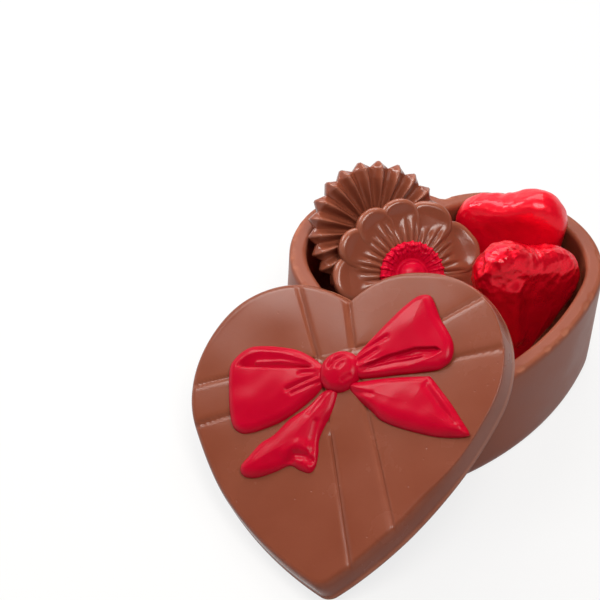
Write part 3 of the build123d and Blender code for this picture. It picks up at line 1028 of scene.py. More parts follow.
RIGHT_LOOP = RibbonPiece(
    "bow_right_loop",
    (
        (0.13, 0.1), (0.27, 0.259), (0.432, 0.424), (0.554, 0.534), (0.661, 0.602), (0.746, 0.602),
        (0.793, 0.546), (0.863, 0.388), (0.932, 0.278), (0.978, 0.19), (0.993, 0.105), (0.973, 0.024),
        (0.92, -0.022), (0.837, -0.05), (0.559, -0.06), (0.2, -0.07), (0.09, -0.02),
    ),
    (
        Mouth(
            ((0.2, 0.01), (0.448, 0.095), (0.679, 0.14), (0.86, 0.135), (0.92, 0.1)),
            ((0.2, -0.03), (0.459, -0.03), (0.637, -0.01), (0.811, 0.04), (0.92, 0.09)), 1.8,
        ),
        Crease(((0.17, 0.129), (0.3, 0.19), (0.435, 0.251)), 0.5, 0.8),
        Crease(((0.2, 0.072), (0.352, 0.15)), 0.6, 0.8),
        Crease(((0.24, 0.012), (0.5, 0.05), (0.74, 0.07)), -0.45, 0.55),
        Crease(((0.26, 0.035), (0.5, 0.085)), -0.3, 0.5),
        Crease(((0.3, 0.24), (0.55, 0.36), (0.72, 0.4)), -0.3, 4.5),
    ),
)
LEFT_TAIL = RibbonPiece(
    "bow_left_tail",
    (
        (-0.1, -0.15), (-0.23, -0.27), (-0.39, -0.37), (-0.515, -0.49), (-0.623, -0.551), (-0.72, -0.656),
        (-0.777, -0.72), (-0.79, -0.778), (-0.747, -0.829), (-0.661, -0.846), (-0.573, -0.834),
        (-0.461, -0.802), (-0.345, -0.763), (-0.257, -0.805), (-0.167, -0.834), (-0.12, -0.788),
        (-0.103, -0.68), (-0.105, -0.556), (-0.059, -0.432), (0.0, -0.31), (0.02, -0.15),
    ),
    (
        Crease(((-0.34, -0.74), (-0.3, -0.68), (-0.2, -0.7), (-0.14, -0.74)), 0.9, 1.3),
        Crease(((-0.15, -0.66), (-0.16, -0.55), (-0.13, -0.42)), 0.5, 1.0),
        Crease(((-0.38, -0.66), (-0.26, -0.6), (-0.18, -0.63)), -0.5, 1.8),
        Crease(((-0.1, -0.2), (-0.2, -0.34)), 0.4, 0.9),
        Crease(((-0.62, -0.72), (-0.4, -0.56), (-0.16, -0.34)), -0.35, 3.4),
    ),
)
RIGHT_TAIL = RibbonPiece(
    "bow_right_tail",
    (
        (0.1, -0.11), (0.25, -0.09), (0.4, -0.08), (0.559, -0.08), (0.771, -0.088), (0.815, -0.1),
        (0.907, -0.212), (0.998, -0.327), (1.09, -0.463), (1.163, -0.573), (1.149, -0.61),
        (1.017, -0.612), (0.851, -0.588), (0.593, -0.51), (0.417, -0.432), (0.324, -0.349), (0.2, -0.24),
    ),
    (
        Crease(((0.3, -0.26), (0.5, -0.36), (0.8, -0.46), (1.02, -0.54)), -0.4, 2.6),
        Crease(((0.83, -0.17), (0.98, -0.36), (1.1, -0.52)), -0.45, 1.1),
        Crease(((0.8, -0.18), (0.93, -0.36), (1.05, -0.5)), 0.4, 1.3),
        Crease(((0.18, -0.19), (0.34, -0.22)), 0.35, 0.9),
    ),
)
KNOT_CREASES = (
    Crease(((-0.06, 0.03), (-0.02, 0.08), (0.05, 0.11)), 0.55, 0.8),
    Crease(((-0.07, 0.06), (-0.05, 0.12)), 0.4, 0.8),
    Crease(((0.02, 0.02), (0.04, 0.05)), 0.35, 0.9),
    Crease(((0.06, -0.1), (0.11, -0.06)), 0.3, 0.9),
    Crease(((-0.12, -0.08), (-0.09, -0.13)), 0.3, 0.9),
)


@dataclass
class LidWithBow:
    """Heart lid with a lip, a rounded side, two crossing ribbon bands, and the bow on it.

    Attributes:
        base: the tray that it leans on.
        outline: outline of the lip.
        thick: height of the top in mm.
        side: profile of lip and side up to the top's edge: distance in from the lip and height, in mm.
        top_inset: distance of the top's edge from the lip in mm.
        lean: slope of the lid in degrees.
        azimuth: direction in which the lid climbs, in degrees.
        turn: turn of the heart in the lid's plane, in degrees.
        side_shift: place along the rim in mm.
        seat_gap: clearance to the rim in mm.
        rim_round: rounding of the rim that the lid touches, as in the solids, in mm.
        bow_across: place of the bow beside the middle line in mm.
        bow_shift: place of the loops and tails beside the bow's place in mm.
        knot_shift: place of the knot beside the bow's place in mm.
        reach: reach of a loop in mm.
        ribbon: thickness of loops and tails in mm.
        round_edge: width of the rounding round a piece of the bow, in mm.
        bow_foot: height of the brown foot under a piece of the bow, in mm.
        bow_sink: depth of that foot in the lid, and height of its widest ring, in mm.
        bow_wave: depth and length of the bow's unevenness in mm.
        bow_points: points round a piece of the bow.
        crown: share of a bow piece's height that climbs slowly, and the distance of that climb in mm.
        bow_seeds: random seeds of the knot and of the first loop.
        knot_size: width, length, turn in degrees and height of the knot.
        long_turn: turn of the long band in degrees.
        cross_turn: turn of the cross band in degrees.
        cross_up: place of the cross band above the knot in mm.
        long_half: half width of the long band at the knot in mm.
        long_flares: its growth per mm upwards on the right, upwards on the left, and downwards.
        cross_half: half width of the cross band at the knot in mm.
        cross_flare: its growth per mm.
        cross_spread: distance in mm where its upper right edge turns up, and the growth per mm there.
        band_rise: rise of a band over the fields beside it in mm.
        dome: rise of the top's middle over its edge in mm.
        shoulder: length over which a panel rounds off to its edge in mm.
        fall: how far it falls there in mm.
        groove: depth of the grooves in mm.
        groove_half: half width of the grooves in mm.
        scuff: distance of the pale line from a groove, and its half width, in mm; the line is partly scuff
            and partly painted highlight.
        hidden: distance added to an edge where the other band covers it, in mm.
        top_wave: depth and length of the top's unevenness in mm.
        under_wave: depth and length of the underside's unevenness in mm.
        top_start: heights where the top's relief and unevenness start and are full, in mm.
        wear_and_highlight_shares: paleness at the lip, at the side's upper edge and along the grooves,
            partly wear and partly painted highlight.
        wear_and_highlight_wave: length of the patches of that paleness in mm.
        seeds: random seeds of the top's and the underside's unevenness and of that paleness.
        cleft_pull: how far the hand-trimmed cleft lies to the right and down, and its reach, in mm.
        left_trim: how much the left lobe is trimmed, and where that starts and ends, in mm.
        steep_side: bearing of the steepest side in degrees.
        steep_share: share of the side's draft that is missing there.
        counts: points on the four arcs of half the outline.
    """

    base: BaseTray
    outline: HeartOutline = HeartOutline(117.0, 22.2, 134.5, 25.6, 5.7, 1.6)
    thick: float = 9.0
    side: Path = (
        (0.35, 0.0), (0.0, 0.4), (0.0, 1.3), (0.25, 1.75), (0.7, 1.85), (0.9, 2.6), (1.25, 4.8),
        (1.75, 6.9), (2.5, 8.3), (3.4, 8.88),
    )
    top_inset: float = 4.4
    lean: float = 35.5
    azimuth: float = 36.06
    turn: float = 46.55
    side_shift: float = -25.5
    seat_gap: float = 0.3
    rim_round: float = 2.1
    bow_across: float = 1.3
    bow_shift: float = -0.8
    knot_shift: float = 0.4
    reach: float = 41.0
    ribbon: float = 3.4
    round_edge: float = 3.2
    bow_foot: float = 0.45
    bow_sink: float = 0.25
    bow_wave: Pair = (0.1, 9.0)
    bow_points: int = 320
    crown: Pair = (0.2, 9.0)
    bow_seeds: tuple[int, int] = (29, 31)
    knot_size: tuple[float, float, float, float] = (15.0, 14.8, 11.5, 4.8)
    long_turn: float = 15.2
    cross_turn: float = 10.0
    cross_up: float = 2.2
    long_half: float = 6.5
    long_flares: Triple = (0.025, 0.085, 0.032)
    cross_half: float = 5.0
    cross_flare: float = 0.047
    cross_spread: Pair = (31.4, 0.236)
    band_rise: float = 0.35
    dome: float = 0.9
    shoulder: float = 2.4
    fall: float = 0.2
    groove: float = 0.6
    groove_half: float = 0.42
    scuff: Pair = (0.9, 0.5)
    hidden: float = 40.0
    top_wave: Pair = (0.16, 30.0)
    under_wave: Pair = (0.12, 16.0)
    top_start: Pair = (7.6, 8.9)
    wear_and_highlight_shares: Triple = (0.85, 0.15, 0.18)
    wear_and_highlight_wave: float = 7.0
    seeds: tuple[int, int, int] = (11, 12, 13)
    cleft_pull: Triple = (1.7, -1.4, 13.0)
    left_trim: Triple = (1.5, 38.0, 57.0)
    steep_side: float = 12.0
    steep_share: float = 0.9
    counts: Counts = (8, 104, 140, 20)

    def seat(self) -> Seat:
        """The plane of the underside: its foot on the table, its back on the rounded rim.

        Returns:
            The seat.
        """
        lean, bearing, turn = (math.radians(a) for a in (self.lean, self.azimuth, self.turn))
        ascent = np.array([math.cos(bearing), math.sin(bearing), 0.0])
        up = np.array([0.0, 0.0, 1.0])
        facing = up * math.cos(lean) - ascent * math.sin(lean)
        slope = ascent * math.cos(lean) + up * math.sin(lean)
        across = np.cross(facing, slope)
        rim_reach = self.rim_round - self.base.outer.support(bearing + math.pi)
        rise = self.base.height - self.rim_round
        drop = (self.rim_round + self.seat_gap + rise * math.cos(lean)) / math.sin(lean)
        foot = self.outline.support(turn + math.pi)
        origin = ascent * (rim_reach - drop) + slope * foot + across * self.side_shift
        return Seat(tuple(origin), tuple(slope * math.cos(turn) - across * math.sin(turn)), tuple(facing))

    def relief(self, flat: Array) -> tuple[Array, Array]:
        """Height of the top's panels above its level, and a pale line beside their grooves: partly wear,
        partly painted highlight.

        Both bands flare away from the knot: half width is a constant plus a share of the distance. A
        panel falls to its edge by an exponential of the distance, and a bell cuts the groove there.

        Args:
            flat: points (..., 2) in the lid's plane in mm.

        Returns:
            Heights, and the pale line.
        """
        x, y = flat[..., 0] - self.bow_across, flat[..., 1]
        turn, cross = math.radians(self.long_turn), math.radians(self.cross_turn)
        off, run = x * math.cos(turn) + y * math.sin(turn), y * math.cos(turn) - x * math.sin(turn)
        right_up, left_up, down = self.long_flares
        up = np.where(off > 0.0, right_up, left_up)
        edge = np.abs(off) - self.long_half - up * np.maximum(run, 0.0) - down * np.maximum(-run, 0.0)
        off_two = (y - self.cross_up) * math.cos(cross) - x * math.sin(cross)
        run_two = x * math.cos(cross) + (y - self.cross_up) * math.sin(cross)
        start, growth = self.cross_spread
        spread = growth * np.maximum(run_two - start, 0.0) * (off_two > 0.0)
        edge_two = np.abs(off_two) - self.cross_half - self.cross_flare * np.abs(run_two) - spread
        near = np.minimum(
            np.abs(edge) + self.hidden * (edge_two < 0.0), np.abs(edge_two) + self.hidden * (edge < 0.0)
        )
        on_band = np.maximum(smooth(0.0, -self.shoulder, edge), smooth(0.0, -self.shoulder, edge_two))
        height = self.band_rise * on_band - self.fall * np.exp(-near / self.shoulder)
        reach = np.linalg.norm(flat - self.outline.middle(), axis=-1) / (self.outline.width / 2.0)
        height += self.dome * (1.0 - np.minimum(reach, 1.0) ** 2)
        return height - self.groove * bell(near, self.groove_half), bell(near - self.scuff[0], self.scuff[1])

    def trimmed(self) -> Array:
        """The lip's outline with its cleft pulled by a bell and its left lobe trimmed by a smooth step.

        Returns:
            Array (n, 2) in mm.
        """
        loop, _ = self.outline.loop(self.counts)
        right, down, reach = self.cleft_pull
        near = bell(np.hypot(loop[:, 0], loop[:, 1] - self.outline.cleft_foot()), reach)
        trim, start, end = self.left_trim
        inwards = trim * smooth(start, end, -loop[:, 0])
        return loop + np.stack([right * near + inwards, down * near], axis=1)

    def plate(self) -> Skin:
        """The lid: rings of the outline drawn in along a profile of lip and rounded side, then the top.

        A smooth step of the bearing takes the draft off one side. The top gets the relief and soft waves.

        Returns:
            The closed skin, marked paler at the lip and the edges, partly wear and partly painted highlight,
            and raw on the underside.
        """
        loop, middle = self.trimmed(), self.outline.middle()
        side = refined([*self.side, (self.top_inset, self.thick)], 0.4, 2)
        bearing = np.arctan2(loop[:, 1] - middle[1], loop[:, 0] - middle[0])
        steep = smooth(0.6, 0.95, np.cos(bearing - math.radians(self.steep_side)))
        shares = 1.0 - 2.0 * side[:, :1] * (1.0 - self.steep_share * steep) / self.outline.width
        under = shares[:1] * np.linspace(0.0, 0.97, 8)[:, None]
        upper = shares[-1:] * np.append(np.linspace(0.992, 0.06, 118), 0.0)[:, None]
        flat = middle + np.concatenate([under, shares, upper])[..., None] * (loop - middle)
        levels = np.concatenate([np.zeros(len(under)), side[:, 1], np.full(len(upper), self.thick)])
        rings = lift_rings(flat, levels)
        relief, edge = self.relief(flat)
        on_top = smooth(*self.top_start, rings[..., 2])
        below = (levels == 0.0)[:, None]
        (top_depth, top_length), (under_depth, under_length) = self.top_wave, self.under_wave
        top_seed, under_seed, wear_and_highlight_seed = self.seeds
        rings[..., 2] += on_top * (relief + top_depth * ripple(rings, top_length, top_seed))
        rings[..., 2] += below * under_depth * (1.0 + ripple(rings, under_length, under_seed))
        rows = np.arange(len(levels))[:, None]
        lip = bell(rows - (len(under) + 4.0), 2.2)
        shoulder = bell(rows - (len(under) + len(side) - 6.0), 3.0)
        rough = 0.5 + 0.5 * ripple(rings, self.wear_and_highlight_wave, wear_and_highlight_seed)
        at_lip, at_shoulder, at_groove = self.wear_and_highlight_shares
        # Paler lip, shoulder and groove lines: partly wear, partly painted highlight.
        wear_and_highlight = at_lip * lip + at_shoulder * shoulder * rough + at_groove * on_top * edge * rough
        marks = {Mark.WEAR: np.clip(wear_and_highlight, 0.0, 1.0), Mark.RAW: below * np.ones_like(wear_and_highlight)}
        return Skin(self.seat().place(rings), marks)

    def bow_seat(self, shift: float) -> Seat:
        """The plane of the bow: the lid's top under the knot, shifted sideways by some mm."""
        return self.seat().raised(self.thick, self.bow_across + shift)

    def cushion(
        self, corners: Array, presses: tuple[Crease | Mouth, ...], height: float, seat: Seat, seed: int
    ) -> Skin:
        """A cushion: a quarter-round edge of the distance to the outline, a low crown, less the presses.

        Args:
            corners: corners of the outline in mm.
            presses: creases and mouths.
            height: height in mm, its foot among it.
            seat: the plane that it lies on.
            seed: seed of its unevenness.

        Returns:
            The closed skin, marked bare at its foot.
        """
        loop = closed_curve(corners, self.bow_points)
        below = [0.0, 0.5, 0.97, 1.0]
        shares = np.concatenate([below, 1.0 - np.linspace(0.008, 1.0, 64) ** 1.25])
        flat = fan(loop, corners.mean(0), shares)
        near = path_distance(flat, closed(loop)[::2])
        rise = np.clip(near / self.round_edge, 0.0, 1.0)
        slow, climb = self.crown
        crown = (1.0 - slow) * np.sqrt(1.0 - (1.0 - rise) ** 2) + slow * smooth(0.0, climb, near)
        pressed = sum(press.press(flat, self.reach) for press in presses)
        soft = self.bow_wave[0] * ripple(lift_rings(flat, np.zeros_like(near)), self.bow_wave[1], seed)
        full = crown * (height - self.bow_foot) - (pressed - soft) * smooth(0.0, 0.55, rise)
        upper = np.arange(len(shares))[:, None] >= len(below)
        heights = np.where(upper, np.maximum(full, 0.15) + self.bow_foot, -self.bow_sink)
        heights[len(below) - 1] = self.bow_sink
        bare = 1.0 - smooth(0.5, 1.05, heights)
        return Skin(seat.place(lift_rings(flat, heights)), {Mark.BARE: bare})

    def ribbon_skin(self, piece: RibbonPiece, seed: int) -> Skin:
        """One loop or tail as a cushion on its outline, turned counterclockwise.

        Args:
            piece: the loop or tail.
            seed: seed of its unevenness.

        Returns:
            The closed skin.
        """
        corners = np.array(piece.outline) * self.reach
        if np.cross(corners, np.roll(corners, -1, axis=0)).sum() < 0.0:
            corners = corners[::-1]
        return self.cushion(corners, piece.presses, self.ribbon, self.bow_seat(self.bow_shift), seed)

    def knot_skin(self) -> Skin:
        """The knot: a cushion on an oval, pinched by small creases.

        Returns:
            The closed skin.
        """
        width, length, turn, height = self.knot_size
        corners = circle(full_turn(24)) * np.array([width / 2.0, length / 2.0]) @ turning(turn)
        seat, seed = self.bow_seat(self.knot_shift), self.bow_seeds[0]
        return self.cushion(corners, KNOT_CREASES, height, seat, seed)

    def dress(self, chocolate: Material, coating: Material) -> None:
        """Makes the lid and each piece of the bow.

        Args:
            chocolate: finish of the lid.
            coating: finish of the bow.
        """
        make_piece("lid", [self.plate()], "lid", "lid_plate", chocolate)
        make_piece("knot", [self.knot_skin()], "lid", "bow_knot", coating)
        ribbons = (LEFT_LOOP, RIGHT_LOOP, LEFT_TAIL, RIGHT_TAIL)
        for seed, piece in enumerate(ribbons, self.bow_seeds[1]):
            skin = self.ribbon_skin(piece, seed)
            make_piece(piece.node.removeprefix("bow_"), [skin], "lid", piece.node, coating)


@dataclass(frozen=True)
class Petal:
    """A broad petal of the flower.

    Attributes:
        angle: its direction in degrees.
        reach: distance of its end from the flower's axis in mm.
        half: half width in mm.
        raised: height added at the outer end, as a share of the flower's height.
        tilt: drop of the left edge and rise of the right one, as a share of that height.
    """

    angle: float
    reach: float
    half: float
    raised: float
    tilt: float


PETALS = (
    Petal(113.0, 27.8, 7.0, 0.02, 0.0),
    Petal(86.0, 27.4, 7.1, 0.05, 0.05),
    Petal(55.0, 27.7, 8.2, 0.0, 0.17),
    Petal(16.0, 28.2, 9.3, 0.0, 0.17),
    Petal(-23.0, 27.0, 9.4, 0.0, 0.17),
    Petal(-68.0, 26.9, 10.2, -0.1, 0.0),
    Petal(246.0, 27.0, 9.5, 0.0, -0.17),
    Petal(206.0, 27.4, 8.8, 0.0, -0.17),
    Petal(169.0, 28.4, 7.9, 0.0, -0.17),
    Petal(140.0, 28.4, 7.0, 0.0, -0.05),
)


@dataclass
class FlowerPair:
    """Two flower chocolates that lean back together: a daisy behind a broad flower with a red centre.

    A profile is a list of stations, as shares of a petal's reach, and the values there.

    Attributes:
        base: the tray that carries them.
        heart_thick: thickness of the lower heart that carries them in mm.
        seat_gap: clearance between pieces in mm.
        yaw: turn about the vertical in degrees.
        tilt: lean in degrees.
        daisy_radius: radius of the daisy in mm.
        daisy_thick: height of its ridges in mm.
        daisy_side: place of the daisy along its plane in mm.
        daisy_hub: radius of its hub, as a share of the daisy's radius.
        hub_side: side of its hub: share of the hub's radius and height in mm.
        leaf_width: half width of its leaves, as shares of a sector.
        leaf_ridge: height of their ridges, as shares of the daisy's height.
        leaf_edge: height of their edges, as such shares.
        leaf_under: height of their undersides, as such shares.
        leaf_drop: drop of every second leaf, and most of the random drop of each, in mm.
        leaf_bend: most sideways bend of a leaf's point in mm.
        vein: rise of the side veins of its leaves in mm.
        petals: leaves of the daisy.
        upper_arc: first angle, step in degrees and count of the leaves of the daisy's upper arc.
        thick: height of the flower in mm.
        shift: place of the flower beside the daisy's axis in mm.
        drop: place of the flower down the slope in mm.
        petal_start: inner end of a broad petal, as a share of its reach.
        petal_swell: how much fuller its outer end is than its inner one.
        petal_dish: height of its face, as shares of the flower's height.
        petal_under: height of its underside, as such shares.
        petal_round: width of the rounding along its edge in mm.
        petal_roll: rise of its rolled edge, that roll's distance from the edge and its half width, in mm.
        petal_wave: depth and length of its unevenness in mm.
        petal_least: its least thickness in mm.
        rib_rise: rise of its ribs in mm.
        rib_pace: ribs on a half turn about the flower's axis.
        rib_length: share of the reach where ribs end, how far that swings, and its loss at the sides.
        disc: radius of the red centre in mm.
        seat_share: height of the red centre's seat, as a share of the flower's height.
        disc_thick: thickness of the red disc in mm.
        fringe: ribs of the fringe.
        fringe_rise: rise of the fringe over the disc in mm.
        fringe_climb: height of the fringe by the share of the disc's radius.
        knob_rise: rise of the knobs on the fringe in mm.
        frill: depth of the frilled edge, as a share of the disc's radius.
        disc_wave: depth and length of the red centre's unevenness in mm.
        button: radius of the button in mm.
        button_rise: rise of the button over the disc in mm.
        seeds: random seeds of the daisy, the first broad petal and the red centre.
    """

    base: BaseTray
    heart_thick: float = 14.0
    seat_gap: float = 0.3
    yaw: float = 22.4
    tilt: float = 44.4
    daisy_radius: float = 25.4
    daisy_thick: float = 7.5
    daisy_side: float = -18.0
    daisy_hub: float = 0.34
    hub_side: Path = ((0.9, 0.05), (1.0, 0.4), (1.0, 2.6), (0.9, 3.2), (0.5, 3.5), (0.1, 3.6))
    leaf_width: Profile = ((0.2, 0.88, 0.9, 1.0), (0.23, 1.0, 0.95, 0.1))
    leaf_ridge: Profile = ((0.2, 0.5, 0.74, 0.9, 1.0), (0.5, 0.72, 0.95, 0.95, 0.62))
    leaf_edge: Profile = ((0.2, 0.5, 0.74, 0.9, 1.0), (0.28, 0.34, 0.44, 0.46, 0.4))
    leaf_under: Profile = ((0.2, 0.8, 1.0), (0.0, 0.02, 0.1))
    leaf_drop: float = 0.3
    leaf_bend: float = 0.35
    vein: float = 0.28
    petals: int = 24
    upper_arc: tuple[float, float, int] = (25.0, 16.5, 9)
    thick: float = 6.4
    shift: float = 5.05
    drop: float = 17.5
    petal_start: float = 0.24
    petal_swell: float = 0.34
    petal_dish: Profile = ((0.24, 0.46, 0.62, 0.8, 0.92, 1.0), (0.6, 0.58, 0.55, 0.57, 0.64, 0.66))
    petal_under: Profile = ((0.24, 0.64, 0.9, 1.0), (0.0, 0.0, 0.1, 0.17))
    petal_round: float = 2.2
    petal_roll: Triple = (0.35, 1.6, 2.4)
    petal_wave: Pair = (0.2, 11.0)
    petal_least: float = 1.2
    rib_rise: float = 1.0
    rib_pace: float = 18.0
    rib_length: Triple = (0.68, 0.07, 0.12)
    disc: float = 12.2
    seat_share: float = 0.5
    disc_thick: float = 1.4
    fringe: int = 28
    fringe_rise: float = 3.0
    fringe_climb: Profile = ((0.5, 0.58, 0.7, 0.86, 0.95, 1.0), (0.0, 0.35, 0.7, 1.0, 0.9, 0.45))
    knob_rise: float = 0.3
    frill: float = 0.07
    disc_wave: Pair = (0.07, 4.0)
    button: float = 4.6
    button_rise: float = 4.4
    seeds: tuple[int, int, int] = (41, 51, 71)

    def daisy_seat(self) -> Seat:
        """The daisy's plane: its lower edge on the lower heart, its back on the cleft corner of the rim.

        Returns:
            The seat.
        """
        side, _, facing = leaning_axes(self.yaw, self.tilt)
        lift, turn, gap = math.radians(self.tilt), math.radians(self.yaw), self.seat_gap
        back = np.array([-math.sin(turn), math.cos(turn), 0.0])
        height = self.base.floor + self.heart_thick + 3.0 * gap + self.daisy_radius * math.cos(lift)
        under_rim = (self.base.height - height) * math.tan(lift)
        depth = self.base.inner.cleft_foot() * back[1] - gap / math.cos(lift) - under_rim
        origin = side * self.daisy_side + back * depth + np.array([0.0, 0.0, height])
        return Seat(tuple(origin), tuple(side), tuple(facing))

    def flower_seat(self) -> Seat:
        """The flower's plane: just off the daisy's ridges, lower down the slope."""
        return self.daisy_seat().raised(self.daisy_thick + self.seat_gap, self.shift, -self.drop)

    @staticmethod
    def turned(rings: Array, angle: float) -> Array:
        """Turns rings about the flower's axis.

        Args:
            rings: array (r, c, 3).
            angle: angle in degrees.

        Returns:
            Array (r, c, 3).
        """
        matrix = np.eye(3)
        matrix[:2, :2] = turning(angle)
        return rings @ matrix

    @staticmethod
    def round_hub(seat: Seat, radius: float, shares: Array, levels: Array) -> Skin:
        """A round hub on a seat: a circle of some radius, drawn in by a share at each level, all in mm."""
        loop = radius * circle(full_turn(HUB_POINTS))
        return Skin(seat.place(lift_rings(fan(loop, np.zeros(2), shares), levels)))

    @staticmethod
    def petal_rings(outline: Array, centre: Array, rows: int) -> tuple[Array, Array]:
        """Rings of a petal's under side and upper side that meet on its outline.

        Args:
            outline: array (c, 2).
            centre: point that the rings close on.
            rows: rings of the upper side.

        Returns:
            The flat rings, and a column of 0 under the petal, 0.5 on its outline and 1 on its upper side.
        """
        below, rim = [0.0, 0.5, 0.9, 0.985], [1.0, 0.992]
        shares = np.concatenate([below, rim, 1.0 - np.linspace(0.025, 1.0, rows)])
        side = np.concatenate([np.zeros(len(below)), [0.5], np.ones(rows + 1)])
        return fan(outline, centre, shares), side[:, None]

    def leaf_half(self, station: Array) -> Array:
        """Half width of a leaf in mm: a sector up to the shoulder, then a straight taper to the point."""
        sector = self.daisy_radius * math.tan(math.pi / self.petals)
        return sector * np.interp(station, *self.leaf_width)

    def daisy_petal(self, raised: float, bend: float) -> tuple[Array, Array]:
        """One leaf of the daisy: a gable whose ridge swells to three quarters and drops to the point.

        Args:
            raised: height added to the whole leaf in mm.
            bend: sideways bend of the point in mm.

        Returns:
            Rings about the flower's axis, and their paleness along the ridges, partly wear and partly
            painted highlight.
        """
        reach, thick = self.daisy_radius, self.daisy_thick
        run = np.concatenate([np.linspace(0.2, 0.86, 20), np.linspace(0.88, 1.0, 16)])
        right = np.stack([run * reach, -self.leaf_half(run)], axis=1)
        outline = np.vstack([right, right[::-1] * np.array([1.0, -1.0])])
        flat, side = self.petal_rings(outline, np.array([0.6 * reach, 0.0]), 20)
        station = flat[..., 0] / reach
        ridge, edge, low = (
            thick * np.interp(station, *profile)
            for profile in (self.leaf_ridge, self.leaf_edge, self.leaf_under)
        )
        slope = np.clip(np.sqrt((flat[..., 1] / self.leaf_half(station)) ** 2 + 0.02) - 0.13, 0.0, 1.0)
        top = ridge - (ridge - edge) * slope**0.85 + raised * station
        veined = smooth(0.25, 0.5, station) * smooth(1.0, 0.86, station)
        top += self.vein * np.cos(2.0 * np.pi * slope) * veined
        flat[..., 1] += bend * np.clip((station - 0.5) * 2.0, 0.0, 1.0) ** 2
        # Paler along each leaf's ridge: partly wear, partly painted highlight.
        wear_and_highlight = (side == 1.0) * 0.5 * smooth(0.3, 0.02, slope) * smooth(0.5, 0.8, station)
        return lift_rings(flat, low + side * (top - low)), wear_and_highlight

    def leaf_angle(self, place: int) -> float:
        """Angle of a leaf in degrees: spread wider over the upper arc than over the lower one.

        Args:
            place: the leaf's place, counted from the first of the upper arc.

        Returns:
            The angle.
        """
        first, wide, count = self.upper_arc
        if place < count:
            return first + wide * place
        upper, last = wide * (count - 1), count - 1
        return first + upper + (360.0 - upper) * (place - last) / (self.petals - last)

    def daisy(self) -> list[Skin]:
        """The daisy: leaves that cut into each other round a low hub, with small random bends and drops.

        Returns:
            Closed skins.
        """
        draw, seat = np.random.default_rng(self.seeds[0]), self.daisy_seat()
        skins = []
        for place in range(self.petals):
            raised = -self.leaf_drop * (place % 2) - draw.uniform(0.0, self.leaf_drop)
            rings, wear_and_highlight = self.daisy_petal(raised, draw.uniform(-self.leaf_bend, self.leaf_bend))
            skins.append(Skin(seat.place(self.turned(rings, self.leaf_angle(place))), {Mark.WEAR: wear_and_highlight}))
        profile = refined(list(self.hub_side), 0.4, 2)
        shares = np.concatenate([[0.0], profile[:, 0], [0.0]])
        levels = np.concatenate([profile[:1, 1], profile[:, 1], profile[-1:, 1]])
        return [*skins, self.round_hub(seat, self.daisy_hub * self.daisy_radius, shares, levels)]

    def broad_petal(self, leaf: Petal, seed: int) -> tuple[Array, Array]:
        """One broad petal: a dished plate with a rolled edge, rounded ridges that fade outwards, and a tilt.

        Args:
            leaf: the petal's place and size.
            seed: seed of its unevenness.

        Returns:
            Rings about the flower's axis, and their paleness at the edge and on the ribs, partly wear and
            partly painted highlight.
        """
        reach, thick, raised, tilt = leaf.reach, self.thick, leaf.raised, leaf.tilt
        start, swell = self.petal_start * reach, self.petal_swell
        draw = np.random.default_rng(seed)
        outline = egg_curve(start, reach, leaf.half, swell, 120)
        flat, side = self.petal_rings(outline, np.array([0.66 * reach, 0.0]), 50)
        station = flat[..., 0] / reach
        across = (flat[..., 0] - (start + reach) / 2.0) / ((reach - start) / 2.0)
        half = leaf.half * np.sqrt(np.clip(1.0 - across**2, 0.03, 1.0)) * (1.0 + swell * across)
        place = flat[..., 1] / half
        near = path_distance(flat, closed(outline)[::2])
        rise, inset, half_roll = self.petal_roll
        roll = rise * bell(near - inset, half_roll) * smooth(0.5, 0.75, station)
        angle = np.arctan2(flat[..., 1], flat[..., 0])
        ribs = np.abs(np.cos(self.rib_pace * angle + draw.uniform(-0.6, 0.6)))
        end, swing, loss = self.rib_length
        length = end + swing * np.cos(9.0 * angle + seed) - loss * place**2
        fade = smooth(0.08, -0.16, station - length) * smooth(0.28, 0.4, station)
        depth, wave = self.petal_wave
        soft = depth * ripple(lift_rings(flat, np.zeros_like(near)) + seed, wave, seed)
        top = thick * np.interp(station, *self.petal_dish) + roll + self.rib_rise * ribs * fade + soft
        top += thick * (raised * station - tilt * station * place)
        low = thick * np.interp(station, *self.petal_under)
        low += 0.5 * thick * raised * smooth(0.5, 1.0, station)
        low -= 0.55 * thick * tilt * place * station * smooth(0.4, 0.8, station)
        low = np.maximum(low, 0.02)
        top = np.maximum(top, low + self.petal_least)
        edge = np.sqrt(1.0 - (1.0 - np.clip(near / self.petal_round, 0.0, 1.0)) ** 2)
        heights = low + side * (top - low) * np.where(side == 1.0, 0.55 + 0.45 * edge, 1.0)
        # Paler edge and rib crests: partly wear, partly painted highlight.
        wear_and_highlight = (side == 1.0) * np.clip(0.5 * bell(near - 0.8, 0.8) + 0.25 * ribs * fade, 0.0, 1.0)
        return lift_rings(flat, heights), wear_and_highlight

    def flower(self) -> list[Skin]:
        """The flower: three upper petals meet in soft valleys, then each lies over the next down both sides.

        Returns:
            Closed skins.
        """
        seat, top = self.flower_seat(), self.thick * self.seat_share
        skins = []
        for seed, leaf in enumerate(PETALS, self.seeds[1]):
            rings, wear_and_highlight = self.broad_petal(leaf, seed)
            skins.append(Skin(seat.place(self.turned(rings, leaf.angle)), {Mark.WEAR: wear_and_highlight}))
        shares = np.array([0.0, 0.98, 1.0, 1.0, 0.98, 0.0])
        levels = np.array([0.02, 0.02, 0.3, top - 0.2, top, top])
        return [*skins, self.round_hub(seat, self.disc, shares, levels)]

